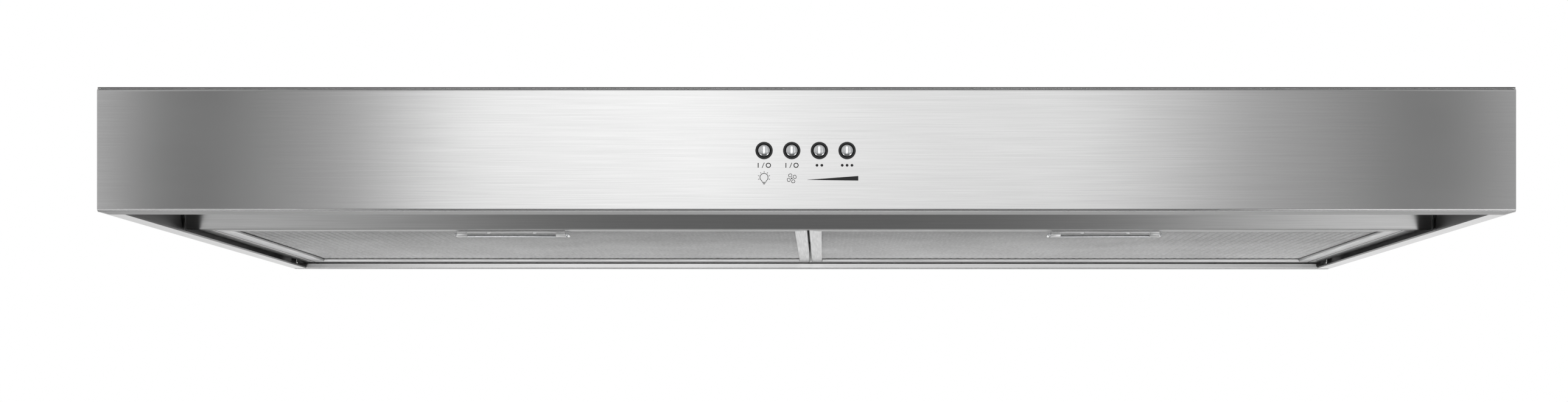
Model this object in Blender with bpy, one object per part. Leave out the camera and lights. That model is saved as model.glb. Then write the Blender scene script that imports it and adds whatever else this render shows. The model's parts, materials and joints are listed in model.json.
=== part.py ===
"""Under cabinet range hood, 30 inch class, with a slim front and two mesh grease filters.

Frame: metres, +Z up, the front faces -Y and the wall is at +Y. The origin is the centre of
the top face, which lies against the cabinet. The underside slopes down from the fascia's
bottom edge to the wall. Lengths are written in millimetres times MM.
"""

import math

import bmesh
import bpy
from mathutils import Matrix, Vector
from mathutils.geometry import tessellate_polygon

MM = 0.001
GAP = 0.3 * MM  # clearance between pieces that touch

# Canopy
WIDTH = 759 * MM
DEPTH = 500 * MM
FRONT_HEIGHT = 66.7 * MM
REAR_HEIGHT = 127 * MM
SHEET = 1 * MM
SIDE_FLANGE = 9.5 * MM
FRONT_FLANGE = 19 * MM
REAR_FLANGE = 10 * MM
REAR_LIP = 3.7 * MM
HALF_W = WIDTH / 2
FRONT_Y = -DEPTH / 2
REAR_Y = DEPTH / 2
INNER_X = HALF_W - SHEET
SLOPE = (REAR_HEIGHT - FRONT_HEIGHT) / DEPTH
TILT = math.atan(SLOPE)

# Filters and their seat
SEAT_LIFT = 4.2 * MM  # filter face above the canopy's bottom plane
FILTER_WIDTH = 361.2 * MM
FILTER_LENGTH = 302 * MM
FILTER_THICK = 9.5 * MM
FILTER_METAL = 0.8 * MM
FILTER_BORDER = 7.5 * MM
FILTER_LIP = 2 * MM
FILTER_CORE = 2 * MM  # the metal of the mesh layers, pressed solid
FILTER_SPACING = 1.4 * MM
FILTER_REAR_Y = REAR_Y - 14.5 * MM
FILTER_X = (FILTER_WIDTH + FILTER_SPACING) / 2
RAIL_WIDTH = 7 * MM
RAIL_HEIGHT = 12 * MM
RAIL_SPACE = 1.1 * MM

# Pull on each filter
PULL_WIRE = 0.9 * MM
PULL_HALF = 34 * MM
PULL_REACH = 14 * MM
PULL_DROP = 2.1 * MM
PULL_INSET = 3.8 * MM
KNUCKLE = 1.8 * MM
KNUCKLE_BORE = 1.2 * MM

# Lamp recess
LAMP_PANEL_Z = -49 * MM
BAND_TOP_Y = FRONT_Y + 163 * MM
BAND_FOOT_Y = FRONT_Y + 177 * MM
LEDGE_END_Y = FRONT_Y + 184.3 * MM
LAMP_X = 235 * MM
LAMP_Y = FRONT_Y + 88 * MM
LAMP_RADIUS = 32 * MM
LAMP_FLANGE = 37 * MM

# Push buttons
BUTTON_X = {
    "light": -22.2 * MM,
    "fan": -7.4 * MM,
    "medium": 7.4 * MM,
    "high": 22.2 * MM,
}
BUTTON_Z = -34 * MM
BUTTON_RADIUS = 3.2 * MM
BUTTON_PROUD = 2 * MM
BEZEL_RADIUS = 4.65 * MM
SWITCH_FRONT_Y = FRONT_Y + 10 * MM

# Blower
FAN_Y = 30 * MM
WHEEL_RADIUS = 70 * MM
BLADES = 28
SCROLL_START = math.radians(60)
SCROLL_MIN = 78 * MM
SCROLL_GROWTH = 27 * MM
SCROLL_TOP = -2.6 * MM
SCROLL_BOTTOM = -64 * MM

# Duct outlet, for a 3 1/4 by 10 inch duct
DUCT_HALF = 127 * MM
DUCT_FRONT = 115.5 * MM
DUCT_BACK = 198.5 * MM
FLAP_AXIS_Y = 195.8 * MM
FLAP_AXIS_Z = -10 * MM

# Wiring
SUPPLY_X, SUPPLY_Y = 275 * MM, 200 * MM
SUPPLY_RADIUS = 11 * MM

FINISHES = {
    "stainless": ((0.62, 0.62, 0.61), 0.32, 1.0),
    "galvanised": ((0.55, 0.56, 0.57), 0.45, 1.0),
    "filter_frame": ((0.80, 0.80, 0.81), 0.35, 1.0),
    "filter_mesh": ((0.62, 0.62, 0.63), 0.5, 1.0),
    "black_plastic": ((0.02, 0.02, 0.02), 0.4, 0.0),
    "chrome": ((0.75, 0.75, 0.76), 0.12, 1.0),
    "spring_steel": ((0.45, 0.45, 0.46), 0.35, 1.0),
    "white_plastic": ((0.80, 0.80, 0.78), 0.45, 0.0),
    "lens": ((0.90, 0.92, 0.92), 0.3, 0.0),
    "rubber": ((0.03, 0.03, 0.03), 0.8, 0.0),
    "cable": ((0.04, 0.04, 0.05), 0.5, 0.0),
}


def under(y, lift=0.0):
    """Height of the canopy's bottom plane at depth y, plus a lift."""
    return -FRONT_HEIGHT - SLOPE * (y - FRONT_Y) + lift


def clear_scene():
    for old in list(bpy.data.objects):
        bpy.data.objects.remove(old)


def finish(name):
    made = bpy.data.materials.get(name)
    if made:
        return made
    colour, roughness, metallic = FINISHES[name]
    made = bpy.data.materials.new(name)
    made.use_nodes = True
    shader = made.node_tree.nodes["Principled BSDF"]
    shader.inputs["Base Color"].default_value = (*colour, 1.0)
    shader.inputs["Roughness"].default_value = roughness
    shader.inputs["Metallic"].default_value = metallic
    return made


def add(name, bm, slot, parent=None, smooth=False):
    """Makes the bmesh an object. Its coordinates are its parent's, or the world's."""
    bm.normal_update()
    bmesh.ops.triangulate(bm, faces=bm.faces[:], ngon_method="EAR_CLIP")
    bmesh.ops.recalc_face_normals(bm, faces=bm.faces[:])
    mesh = bpy.data.meshes.new(name)
    bm.to_mesh(mesh)
    bm.free()
    if smooth:
        mesh.shade_smooth()
        mesh.set_sharp_from_angle(angle=math.radians(30))
    mesh.materials.append(finish(slot))
    made = bpy.data.objects.new(name, mesh)
    made.parent = parent
    bpy.context.collection.objects.link(made)
    return made


def pivot(name, place, tilt=0.0, parent=None):
    """An empty on a joint's axis, which carries the pieces that move with it."""
    made = bpy.data.objects.new(name, None)
    made.location = place
    made.rotation_euler = (tilt, 0, 0)
    made.parent = parent
    made.empty_display_size = 0.02
    bpy.context.collection.objects.link(made)
    return made


def loft(sections):
    """A closed body through two or more loops with the same number of points."""
    bm = bmesh.new()
    rings = [[bm.verts.new(p) for p in section] for section in sections]
    count = len(rings[0])
    for near, far in zip(rings, rings[1:]):
        for i in range(count):
            j = (i + 1) % count
            bm.faces.new((near[i], near[j], far[j], far[i]))
    bm.faces.new(rings[0])
    bm.faces.new(rings[-1])
    return bm


def along_x(profile, x0, x1):
    """A (y, z) profile drawn out from x0 to x1."""
    return loft([[(x, y, z) for y, z in profile] for x in (x0, x1)])


def block(low, high):
    (x0, y0, z0), (x1, y1, z1) = low, high
    return along_x([(y0, z0), (y1, z0), (y1, z1), (y0, z1)], x0, x1)


def ring_points(radius, centre=(0.0, 0.0), steps=32):
    u, v = centre
    turn = math.tau / steps
    return [(u + radius * math.cos(turn * i), v + radius * math.sin(turn * i)) for i in range(steps)]


def rectangle(u0, v0, u1, v1):
    return [(u0, v0), (u1, v0), (u1, v1), (u0, v1)]


def plate(outline, holes, low, high, upright=False):
    """A flat sheet with holes, lying in XY between two heights, or upright in XZ between two depths."""
    loops = [outline, *holes]
    flat = [point for loop in loops for point in loop]

    def place(point, level):
        u, v = point
        return (u, level, v) if upright else (u, v, level)

    bm = bmesh.new()
    lower = [bm.verts.new(place(p, low)) for p in flat]
    upper = [bm.verts.new(place(p, high)) for p in flat]
    drawn = [[Vector((u, v, 0)) / MM for u, v in loop] for loop in loops]
    for a, b, c in tessellate_polygon(drawn):
        bm.faces.new((lower[a], lower[b], lower[c]))
        bm.faces.new((upper[a], upper[b], upper[c]))
    start = 0
    for loop in loops:
        for i in range(len(loop)):
            a, b = start + i, start + (i + 1) % len(loop)
            bm.faces.new((lower[a], lower[b], upper[b], upper[a]))
        start += len(loop)
    return bm


def turned(profile, centre, axis="Z", steps=32):
    """A closed (radius, height) profile turned about an axis through centre."""
    bm = bmesh.new()
    rings = []
    for radius, height in profile:
        count = steps if radius > 0 else 1
        turn = math.tau / steps
        rings.append(
            [
                bm.verts.new((radius * math.cos(turn * i), radius * math.sin(turn * i), height))
                for i in range(count)
            ]
        )
    for k, near in enumerate(rings):
        far = rings[(k + 1) % len(rings)]
        if len(near) == 1 and len(far) == 1:
            continue
        for i in range(steps):
            j = (i + 1) % steps
            corners = [near[i % len(near)], near[j % len(near)], far[j % len(far)], far[i % len(far)]]
            bm.faces.new(list(dict.fromkeys(corners)))
    lay = {
        "Z": Matrix.Identity(4),
        "Y": Matrix.Rotation(math.radians(-90), 4, "X"),
        "X": Matrix.Rotation(math.radians(90), 4, "Y"),
    }[axis]
    bmesh.ops.transform(bm, matrix=Matrix.Translation(centre) @ lay, verts=bm.verts[:])
    return bm


def rod(radius, start, end, axis, steps=24):
    """A plain cylinder along one axis, from start to end."""
    length = (Vector(end) - Vector(start)).length
    return turned([(0, 0), (radius, 0), (radius, length), (0, length)], start, axis, steps)


def tube(path, radius, sides):
    """A round wire along a path of points, with flat ends."""
    points = [Vector(p) for p in path]
    side = None
    sections = []
    for i, point in enumerate(points):
        way = (points[min(i + 1, len(points) - 1)] - points[max(i - 1, 0)]).normalized()
        if side is None:
            side = way.orthogonal().normalized()
        side = (side - way * side.dot(way)).normalized()
        up = way.cross(side)
        turn = math.tau / sides
        sections.append(
            [
                point + radius * (math.cos(turn * k) * side + math.sin(turn * k) * up)
                for k in range(sides)
            ]
        )
    return loft(sections)


def combine(target, tools, operation):
    """Cuts or joins other objects with the target, and removes them."""
    for tool in tools:
        step = target.modifiers.new(tool.name, "BOOLEAN")
        step.object = tool
        step.operation = operation
        step.solver = "EXACT"
    bpy.context.view_layer.update()
    seen = target.evaluated_get(bpy.context.evaluated_depsgraph_get())
    mesh = bpy.data.meshes.new_from_object(seen)
    target.modifiers.clear()
    target.data = mesh
    for tool in tools:
        bpy.data.objects.remove(tool)
    bm = bmesh.new()
    bm.from_mesh(mesh)
    bmesh.ops.dissolve_limit(bm, angle_limit=math.radians(0.05), verts=bm.verts[:], edges=bm.edges[:])
    bmesh.ops.triangulate(bm, faces=bm.faces[:])
    bm.to_mesh(mesh)
    bm.free()
    return target


def cutter(bm, parent=None):
    return add("tool", bm, "galvanised", parent)


# Canopy


def canopy():
    top()
    back()
    fascia()
    for name, sign in (("side_panel_left", -1), ("side_panel_right", 1)):
        side_panel(name, sign)
    edge = SHEET - GAP
    knockout = rectangle(-DUCT_HALF + edge, -94 * MM, DUCT_HALF - edge, -14 * MM)
    add("rear_duct_knockout", plate(knockout, [], REAR_Y - SHEET, REAR_Y, upright=True), "stainless")
    disc = rod(SUPPLY_RADIUS, (SUPPLY_X, SUPPLY_Y, -SHEET), (SUPPLY_X, SUPPLY_Y, 0), "Z")
    add("supply_knockout", disc, "stainless")


def keyhole(x, y):
    """A keyhole for a hanging screw: an 11 mm head passes and a 5.5 mm neck slides."""
    head, neck = 5.5 * MM, 2.75 * MM
    opening = math.asin(neck / head)
    turn = (math.tau - 2 * opening) / 14
    points = []
    for i in range(15):
        angle = math.pi / 2 + opening + turn * i
        points.append((x + head * math.cos(angle), y + head * math.sin(angle)))
    for i in range(7):
        angle = math.pi * i / 6
        points.append((x + neck * math.cos(angle), y + 14 * MM + neck * math.sin(angle)))
    return points


def top():
    edge = SHEET + GAP
    outline = rectangle(-HALF_W + edge, FRONT_Y + edge, HALF_W - edge, REAR_Y - edge)
    duct = rectangle(-DUCT_HALF, DUCT_FRONT, DUCT_HALF, DUCT_BACK)
    supply = ring_points(SUPPLY_RADIUS + GAP, (SUPPLY_X, SUPPLY_Y), 24)
    screws = [keyhole(x, y) for x in (-300 * MM, 300 * MM) for y in (-160 * MM, 120 * MM)]
    add("top_panel", plate(outline, [duct, supply, *screws], -SHEET, 0), "stainless")


def back():
    inside = REAR_Y - SHEET
    lip = REAR_Y - REAR_FLANGE
    profile = [
        (REAR_Y, 0),
        (inside, 0),
        (inside, under(inside, SHEET)),
        (lip + SHEET, under(lip + SHEET, SHEET)),
        (lip + SHEET, under(lip, REAR_LIP)),
        (lip, under(lip, REAR_LIP)),
        (lip, under(lip)),
        (REAR_Y, under(REAR_Y)),
    ]
    half = HALF_W - SHEET - GAP
    panel = add("back_panel", along_x(profile, -half, half), "stainless")
    edge = SHEET - 2 * GAP
    duct = (
        (-DUCT_HALF + edge, REAR_Y - 3 * SHEET, -94 * MM - GAP),
        (DUCT_HALF - edge, REAR_Y + SHEET, -14 * MM + GAP),
    )
    combine(panel, [cutter(block(*duct))], "DIFFERENCE")


def side_panel(name, sign):
    """A flat side with an inward flange along its sloping bottom edge."""

    def section(y):
        low = under(y)
        points = [
            (HALF_W, 0),
            (INNER_X, 0),
            (INNER_X, low + SHEET),
            (HALF_W - SIDE_FLANGE, low + SHEET),
            (HALF_W - SIDE_FLANGE, low),
            (HALF_W, low),
        ]
        return [(sign * x, y, z) for x, z in points]

    start = FRONT_Y + SHEET + GAP
    body = add(name, loft([section(start), section(REAR_Y)]), "stainless")
    rear = REAR_Y - REAR_FLANGE - GAP
    relief = block(
        (INNER_X - 0.02 * MM, rear, under(REAR_Y) - SHEET),
        (HALF_W - SIDE_FLANGE - SHEET, REAR_Y + SHEET, under(rear) + 2 * SHEET),
    )
    corner = block(
        (INNER_X - 0.02 * MM, FRONT_Y, under(FRONT_Y + FRONT_FLANGE) - SHEET),
        (HALF_W - SIDE_FLANGE - SHEET, FRONT_Y + FRONT_FLANGE + GAP, under(FRONT_Y) + 3 * SHEET),
    )
    for shape in (relief, corner):
        bmesh.ops.scale(shape, vec=(sign, 1, 1), verts=shape.verts[:])
    combine(body, [cutter(relief), cutter(corner)], "DIFFERENCE")


def fascia():
    """The flat front, folded back along its lower edge, with a hole for each push button."""
    inside = FRONT_Y + SHEET
    end = FRONT_Y + FRONT_FLANGE
    front = plate(rectangle(-HALF_W, under(FRONT_Y), HALF_W, 0), [], FRONT_Y, inside, upright=True)
    panel = add("front_fascia", front, "stainless")
    half = INNER_X - GAP
    fold = [
        (inside - 0.5 * SHEET, under(inside)),
        (end, under(end)),
        (end, under(end, SHEET)),
        (inside - 0.5 * SHEET, under(inside, SHEET)),
    ]
    combine(panel, [cutter(along_x(fold, -half, half))], "UNION")
    holes = []
    for x in BUTTON_X.values():
        reach = (x, FRONT_Y - SHEET, BUTTON_Z), (x, inside + SHEET, BUTTON_Z)
        holes.append(cutter(rod(4.4 * MM, *reach, "Y")))
    combine(panel, holes, "DIFFERENCE")


# Lamp recess


def lamp_recess():
    thin = SHEET
    half = INNER_X - GAP
    outline = rectangle(-half, FRONT_Y + SHEET + GAP, half, BAND_FOOT_Y)
    seats = [ring_points(LAMP_RADIUS + GAP, (x, LAMP_Y)) for x in (-LAMP_X, LAMP_X)]
    add("lamp_panel", plate(outline, seats, LAMP_PANEL_Z - thin, LAMP_PANEL_Z), "stainless")
    top_z = LAMP_PANEL_Z - thin - GAP
    foot = under(BAND_FOOT_Y, SEAT_LIFT)
    end = under(LEDGE_END_Y, SEAT_LIFT)
    band = [
        (BAND_TOP_Y, top_z),
        (BAND_FOOT_Y, foot),
        (LEDGE_END_Y, end),
        (LEDGE_END_Y, end + 8 * MM),
        (LEDGE_END_Y - thin, end + 8 * MM),
        (LEDGE_END_Y - thin, under(LEDGE_END_Y - thin, SEAT_LIFT + thin)),
        (BAND_FOOT_Y + 0.8 * thin, under(BAND_FOOT_Y, SEAT_LIFT + thin)),
        (BAND_TOP_Y + thin, top_z),
    ]
    side = INNER_X - 1.2 * MM
    add("inner_front_panel", along_x(band, -side, side), "stainless")
    for name, x in (("left", -LAMP_X), ("right", LAMP_X)):
        lamp(name, x)
    driver = block(
        (-170 * MM, -185 * MM, LAMP_PANEL_Z + GAP), (-80 * MM, -147 * MM, LAMP_PANEL_Z + 22 * MM)
    )
    add("lamp_driver", driver, "white_plastic")


def lamp(name, x):
    """A round LED lamp: a can above the panel, a flange below it and a lens in its mouth."""
    mouth = LAMP_PANEL_Z - SHEET - GAP
    profile = [
        (0, LAMP_PANEL_Z + 20 * MM),
        (LAMP_RADIUS, LAMP_PANEL_Z + 20 * MM),
        (LAMP_RADIUS, mouth),
        (LAMP_FLANGE, mouth),
        (LAMP_FLANGE, mouth - 2 * MM),
        (29 * MM, mouth - 2 * MM),
        (27 * MM, mouth + 12 * MM),
        (0, mouth + 12 * MM),
    ]
    add(f"lamp_housing_{name}", turned(profile, (x, LAMP_Y, 0)), "white_plastic", smooth=True)
    edge = 28.3 * MM
    lens = [
        (0, mouth - 2.6 * MM),
        (edge * 0.7, mouth - 2.2 * MM),
        (edge, mouth - 1.2 * MM),
        (edge, mouth + 0.6 * MM),
        (0, mouth + 0.6 * MM),
    ]
    add(f"lamp_lens_{name}", turned(lens, (x, LAMP_Y, 0)), "lens", smooth=True)


# Push buttons


def push_buttons():
    body = add(
        "switch_housing",
        block((-32 * MM, SWITCH_FRONT_Y, -46 * MM), (32 * MM, SWITCH_FRONT_Y + 18 * MM, -24 * MM)),
        "black_plastic",
    )
    sockets = []
    for x in BUTTON_X.values():
        start = (x, SWITCH_FRONT_Y - MM, BUTTON_Z)
        sockets.append(cutter(rod(2.3 * MM, start, (x, SWITCH_FRONT_Y + 9 * MM, BUTTON_Z), "Y")))
    combine(body, sockets, "DIFFERENCE")
    for name, x in BUTTON_X.items():
        button(name, x)


def button(name, x):
    """A sprung button in a black bezel ring, with a stem into the switch behind it."""
    outer = FRONT_Y - GAP
    ring = [
        (3.5 * MM, -0.6 * MM),
        (4.2 * MM, -0.6 * MM),
        (BEZEL_RADIUS, -0.25 * MM),
        (BEZEL_RADIUS, 0),
        (4.1 * MM, 0),
        (4.1 * MM, 3.5 * MM),
        (3.5 * MM, 3.5 * MM),
    ]
    add(f"button_bezel_{name}", turned(ring, (x, outer, BUTTON_Z), "Y", 28), "black_plastic", smooth=True)
    axis = pivot(f"button_{name}_axis", (x, FRONT_Y, BUTTON_Z))
    cap = [
        (0, -BUTTON_PROUD),
        (1.7 * MM, -BUTTON_PROUD + 0.2 * MM),
        (2.7 * MM, -BUTTON_PROUD + 0.6 * MM),
        (BUTTON_RADIUS, -BUTTON_PROUD + 1.2 * MM),
        (BUTTON_RADIUS, 6 * MM),
        (1.75 * MM, 6 * MM),
        (1.75 * MM, 15 * MM),
        (0, 15 * MM),
    ]
    add(f"button_{name}", turned(cap, (0, 0, 0), "Y", 28), "chrome", axis, smooth=True)
    turns, steps = 3, 10
    wire, coil = 0.22 * MM, 2.45 * MM
    start, end = 6 * MM + GAP + wire, 10 * MM - GAP - wire
    path = []
    for i in range(turns * steps + 1):
        angle = math.tau * i / steps
        depth = start + (end - start) * i / (turns * steps)
        path.append((x + coil * math.cos(angle), FRONT_Y + depth, BUTTON_Z + coil * math.sin(angle)))
    add(f"button_spring_{name}", tube(path, wire, 6), "spring_steel", smooth=True)


# Filters


def filters():
    for name, sign in (("left", -1), ("right", 1)):
        rail(name, sign)
        grease_filter(name, sign)
    rear_rail()


def rail(name, sign):
    """An angle beside the filter, hung between the inner front panel and the back."""
    inner = FILTER_X + FILTER_WIDTH / 2 + RAIL_SPACE
    outer = inner + RAIL_WIDTH

    def section(y):
        low = under(y, SEAT_LIFT)
        points = [
            (inner, low),
            (outer, low),
            (outer, low + RAIL_HEIGHT),
            (outer - SHEET, low + RAIL_HEIGHT),
            (outer - SHEET, low + SHEET),
            (inner, low + SHEET),
        ]
        return [(sign * x, y, z) for x, z in points]

    ends = LEDGE_END_Y + GAP, REAR_Y - REAR_FLANGE - 2 * MM
    add(f"filter_rail_{name}", loft([section(y) for y in ends]), "galvanised")


def rear_rail():
    """The angle that the filters' leaf springs push against."""
    front = REAR_Y - 11.2 * MM
    low = under(front, SEAT_LIFT)
    end = REAR_Y - SHEET - GAP
    height = 14 * MM
    profile = [
        (front, low),
        (front, low + height),
        (end, low + height),
        (end, low + height - SHEET),
        (front + 0.8 * MM, low + height - SHEET),
        (front + 0.8 * MM, low),
    ]
    half = INNER_X - 2 * MM
    add("filter_rear_rail", along_x(profile, -half, half), "galvanised")


def grease_filter(name, sign):
    """A channel frame round layers of expanded mesh, hinged along its lower rear edge."""
    place = (sign * FILTER_X, FILTER_REAR_Y, under(FILTER_REAR_Y, SEAT_LIFT))
    axis = pivot(f"filter_{name}_axis", place, -TILT)
    half = FILTER_WIDTH / 2
    metal = FILTER_METAL
    channel = [
        (0, 0),
        (0, FILTER_THICK),
        (FILTER_BORDER, FILTER_THICK),
        (FILTER_BORDER, FILTER_THICK - metal),
        (metal, FILTER_THICK - metal),
        (metal, metal),
        (FILTER_BORDER - metal, metal),
        (FILTER_BORDER - metal, FILTER_LIP),
        (FILTER_BORDER, FILTER_LIP),
        (FILTER_BORDER, 0),
    ]
    bm = bmesh.new()
    loops = []
    for inset, z in channel:
        corners = rectangle(-half + inset, -FILTER_LENGTH + inset, half - inset, -inset)
        loops.append([bm.verts.new((x, y, z)) for x, y in corners])
    for k, near in enumerate(loops):
        far = loops[(k + 1) % len(loops)]
        for i in range(4):
            j = (i + 1) % 4
            bm.faces.new((near[i], near[j], far[j], far[i]))
    add(f"filter_frame_{name}", bm, "filter_frame", axis)
    edge = metal + 0.6 * MM
    core = block(
        (-half + edge, -FILTER_LENGTH + edge, FILTER_LIP + GAP),
        (half - edge, -edge, FILTER_LIP + GAP + FILTER_CORE),
    )
    add(f"filter_mesh_{name}", core, "filter_mesh", axis)
    leaf_spring(name, axis)
    pull(name, axis)


def leaf_spring(name, axis):
    """A bowed strip behind the filter, which presses it towards the front ledge."""
    reach, bow, thick = 70 * MM, 1.0 * MM, 0.4 * MM
    count = 12
    front, back = [], []
    for i in range(count + 1):
        along = -1 + 2 * i / count
        push = GAP + bow * math.cos(along * math.pi / 2) ** 2 * (1 - 0.2 * along * along)
        front.append((reach * along, push))
        back.append((reach * along, push + thick))
    outline = front + back[::-1]
    add(f"filter_spring_{name}", plate(outline, [], 2 * MM, 7 * MM), "spring_steel", axis)


def pull(name, axis):
    """A wire bail that folds against the filter, in two knuckles on a riveted strip."""
    y = -FILTER_LENGTH + PULL_INSET
    strip = block((-38 * MM, y - 3 * MM, -0.9 * MM), (38 * MM, y + 3 * MM, -GAP))
    bracket = add(f"pull_bracket_{name}", strip, "filter_frame", axis)
    knuckles, bores = [], []
    for start, end in ((-33, -27.5), (27.5, 33)):
        line = (start * MM, y, -PULL_DROP), (end * MM, y, -PULL_DROP)
        knuckles.append(cutter(rod(KNUCKLE, *line, "X", 16), axis))
        beyond = (start * MM - MM, y, -PULL_DROP), (end * MM + MM, y, -PULL_DROP)
        bores.append(cutter(rod(KNUCKLE_BORE, *beyond, "X", 16), axis))
    for end in (-1, 1):
        low, high = sorted((end * 33.2 * MM, end * 39 * MM))
        notch = block((low, y - 4 * MM, -3 * MM), (high, y + 4 * MM, MM))
        bores.append(cutter(notch, axis))
    combine(bracket, knuckles, "UNION")
    combine(bracket, bores, "DIFFERENCE")
    hinge = pivot(f"pull_{name}_axis", (0, y, -PULL_DROP), parent=axis)
    bend = 3 * MM
    path = [(-28 * MM, 0, 0)]
    corners = [((-1, 0), (-1, 1)), ((1, 1), (1, 0))]
    for (sx, near), (_, far) in corners:
        for spot, first in ((near, True), (far, False)):
            corner = Vector((sx * PULL_HALF, spot * PULL_REACH, 0))
            path.extend(rounded(corner, sx, spot, bend if spot else 1.2 * MM))
    path.append((28 * MM, 0, 0))
    add(f"filter_pull_{name}", tube(path, PULL_WIRE, 8), "chrome", hinge, smooth=True)


def rounded(corner, side, far, bend):
    """Points round one corner of the bail, walked from -X to +X."""
    inward = -side
    centre = corner + Vector((inward * bend, -bend if far else bend, 0))
    away = Vector((-inward, 1 if far else -1, 0))
    start = Vector((0, away.y, 0)) if (side < 0) != bool(far) else Vector((away.x, 0, 0))
    end = Vector((away.x, 0, 0)) if (side < 0) != bool(far) else Vector((0, away.y, 0))
    steps = 4
    points = []
    for i in range(steps + 1):
        angle = math.pi / 2 * i / steps
        points.append(centre + bend * (math.cos(angle) * start + math.sin(angle) * end))
    return points


# Blower


def scroll_radius(angle):
    return SCROLL_MIN + SCROLL_GROWTH * (angle - SCROLL_START) / (math.tau - SCROLL_START)


def scroll_curve(offset):
    """The volute from its tongue round to the outlet side, then straight back to the duct box."""
    steps = 30
    mouth_y = DUCT_FRONT - 1.5 * MM - GAP
    tongue_x = SCROLL_MIN * math.cos(SCROLL_START) - offset
    tongue_y = FAN_Y + math.sqrt((SCROLL_MIN + offset) ** 2 - tongue_x**2)
    points = [(tongue_x, mouth_y), (tongue_x, tongue_y)]
    for i in range(1, steps + 1):
        angle = SCROLL_START + (math.tau - SCROLL_START) * i / steps
        radius = scroll_radius(angle) + offset
        points.append((radius * math.cos(angle), FAN_Y + radius * math.sin(angle)))
    points.append((SCROLL_MIN + SCROLL_GROWTH + offset, mouth_y))
    return points


def blower():
    inner, outer = scroll_curve(0), scroll_curve(SHEET)
    wall = inner + outer[::-1]
    sheet = loft([[(u, v, z) for u, v in wall] for z in (SCROLL_BOTTOM, SCROLL_TOP)])
    add("blower_scroll", sheet, "galvanised", smooth=True)
    rim = scroll_curve(1.8 * MM)
    top_z = SCROLL_TOP + GAP
    add("blower_top_plate", plate(rim, [], top_z, top_z + SHEET), "galvanised")
    low_z = SCROLL_BOTTOM - GAP
    eye = ring_points(59 * MM, (0, FAN_Y), 40)
    add("blower_inlet_plate", plate(rim, [eye], low_z - SHEET, low_z), "galvanised")
    mouth = [
        (50 * MM, low_z + 3 * MM),
        (51 * MM, low_z - 1 * MM),
        (54 * MM, low_z - 3.4 * MM),
        (58.6 * MM, low_z - 4 * MM),
        (58.6 * MM, low_z - 3.2 * MM),
        (54.6 * MM, low_z - 2.6 * MM),
        (52 * MM, low_z - 0.4 * MM),
        (51 * MM, low_z + 3 * MM),
    ]
    add("blower_inlet_ring", turned(mouth, (0, FAN_Y, 0), "Z", 40), "galvanised", smooth=True)
    motor()
    wheel()


def motor():
    top_z = SCROLL_TOP - GAP
    pad = [(20 * MM, top_z), (20 * MM, top_z - 3 * MM), (34 * MM, top_z - 3 * MM), (34 * MM, top_z)]
    add("motor_mount", turned(pad, (0, FAN_Y, 0)), "rubber", smooth=True)
    can = top_z - 3 * MM - GAP
    profile = [
        (0, can),
        (36 * MM, can),
        (38 * MM, can - 2 * MM),
        (38 * MM, -30 * MM),
        (35 * MM, -33 * MM),
        (9 * MM, -33 * MM),
        (8 * MM, -35 * MM),
        (3.3 * MM, -35 * MM),
        (3.3 * MM, can - 6 * MM),
        (0, can - 6 * MM),
    ]
    add("motor", turned(profile, (0, FAN_Y, 0)), "galvanised", smooth=True)


def wheel():
    """The blower wheel: curved blades between two rings, carried by a middle disc on the shaft."""
    axis = pivot("fan_axis", (0, FAN_Y, 0))
    shaft = rod(3 * MM, (0, 0, -52 * MM), (0, 0, -13 * MM), "Z")
    add("motor_shaft", shaft, "spring_steel", axis, smooth=True)
    hub = [
        (3.3 * MM, -36 * MM),
        (8 * MM, -36 * MM),
        (8 * MM, -39 * MM),
        (59 * MM, -39 * MM),
        (59 * MM, -40 * MM),
        (8 * MM, -40 * MM),
        (8 * MM, -44 * MM),
        (3.3 * MM, -44 * MM),
    ]
    body = add("fan_wheel", turned(hub, (0, 0, 0), "Z", 36), "galvanised", axis)
    tools = []
    for high in (-6 * MM, -60 * MM):
        ring = [
            (56 * MM, high),
            (WHEEL_RADIUS + 0.5 * MM, high),
            (WHEEL_RADIUS + 0.5 * MM, high - MM),
            (56 * MM, high - MM),
        ]
        tools.append(cutter(turned(ring, (0, 0, 0), "Z", 36), axis))
    for i in range(BLADES):
        blade = plate(blade_outline(), [], -60.5 * MM, -6.5 * MM)
        bmesh.ops.rotate(blade, matrix=Matrix.Rotation(math.tau * i / BLADES, 3, "Z"), verts=blade.verts[:])
        tools.append(cutter(blade, axis))
    combine(body, tools, "UNION")
    flats = [(8.5 * MM * math.cos(a), 8.5 * MM * math.sin(a)) for a in (math.tau * i / 6 for i in range(6))]
    nut = plate(flats, [ring_points(3.3 * MM, steps=16)], -50 * MM, -44.4 * MM)
    add("wheel_nut", nut, "spring_steel", axis)


def blade_outline():
    """A forward curved blade in plan, 0.9 mm thick, across the rim of the wheel."""
    inner, outer = 57.5 * MM, WHEEL_RADIUS
    near, far = [], []
    for i in range(4):
        share = i / 3
        radius = inner + (outer - inner) * share
        lean = 0.16 * share * share
        along, across = math.cos(lean), math.sin(lean)
        for line, shift in ((near, -0.45 * MM), (far, 0.45 * MM)):
            line.append((radius * along - shift * across, radius * across + shift * along))
    return near + far[::-1]


# Duct outlet


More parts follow.
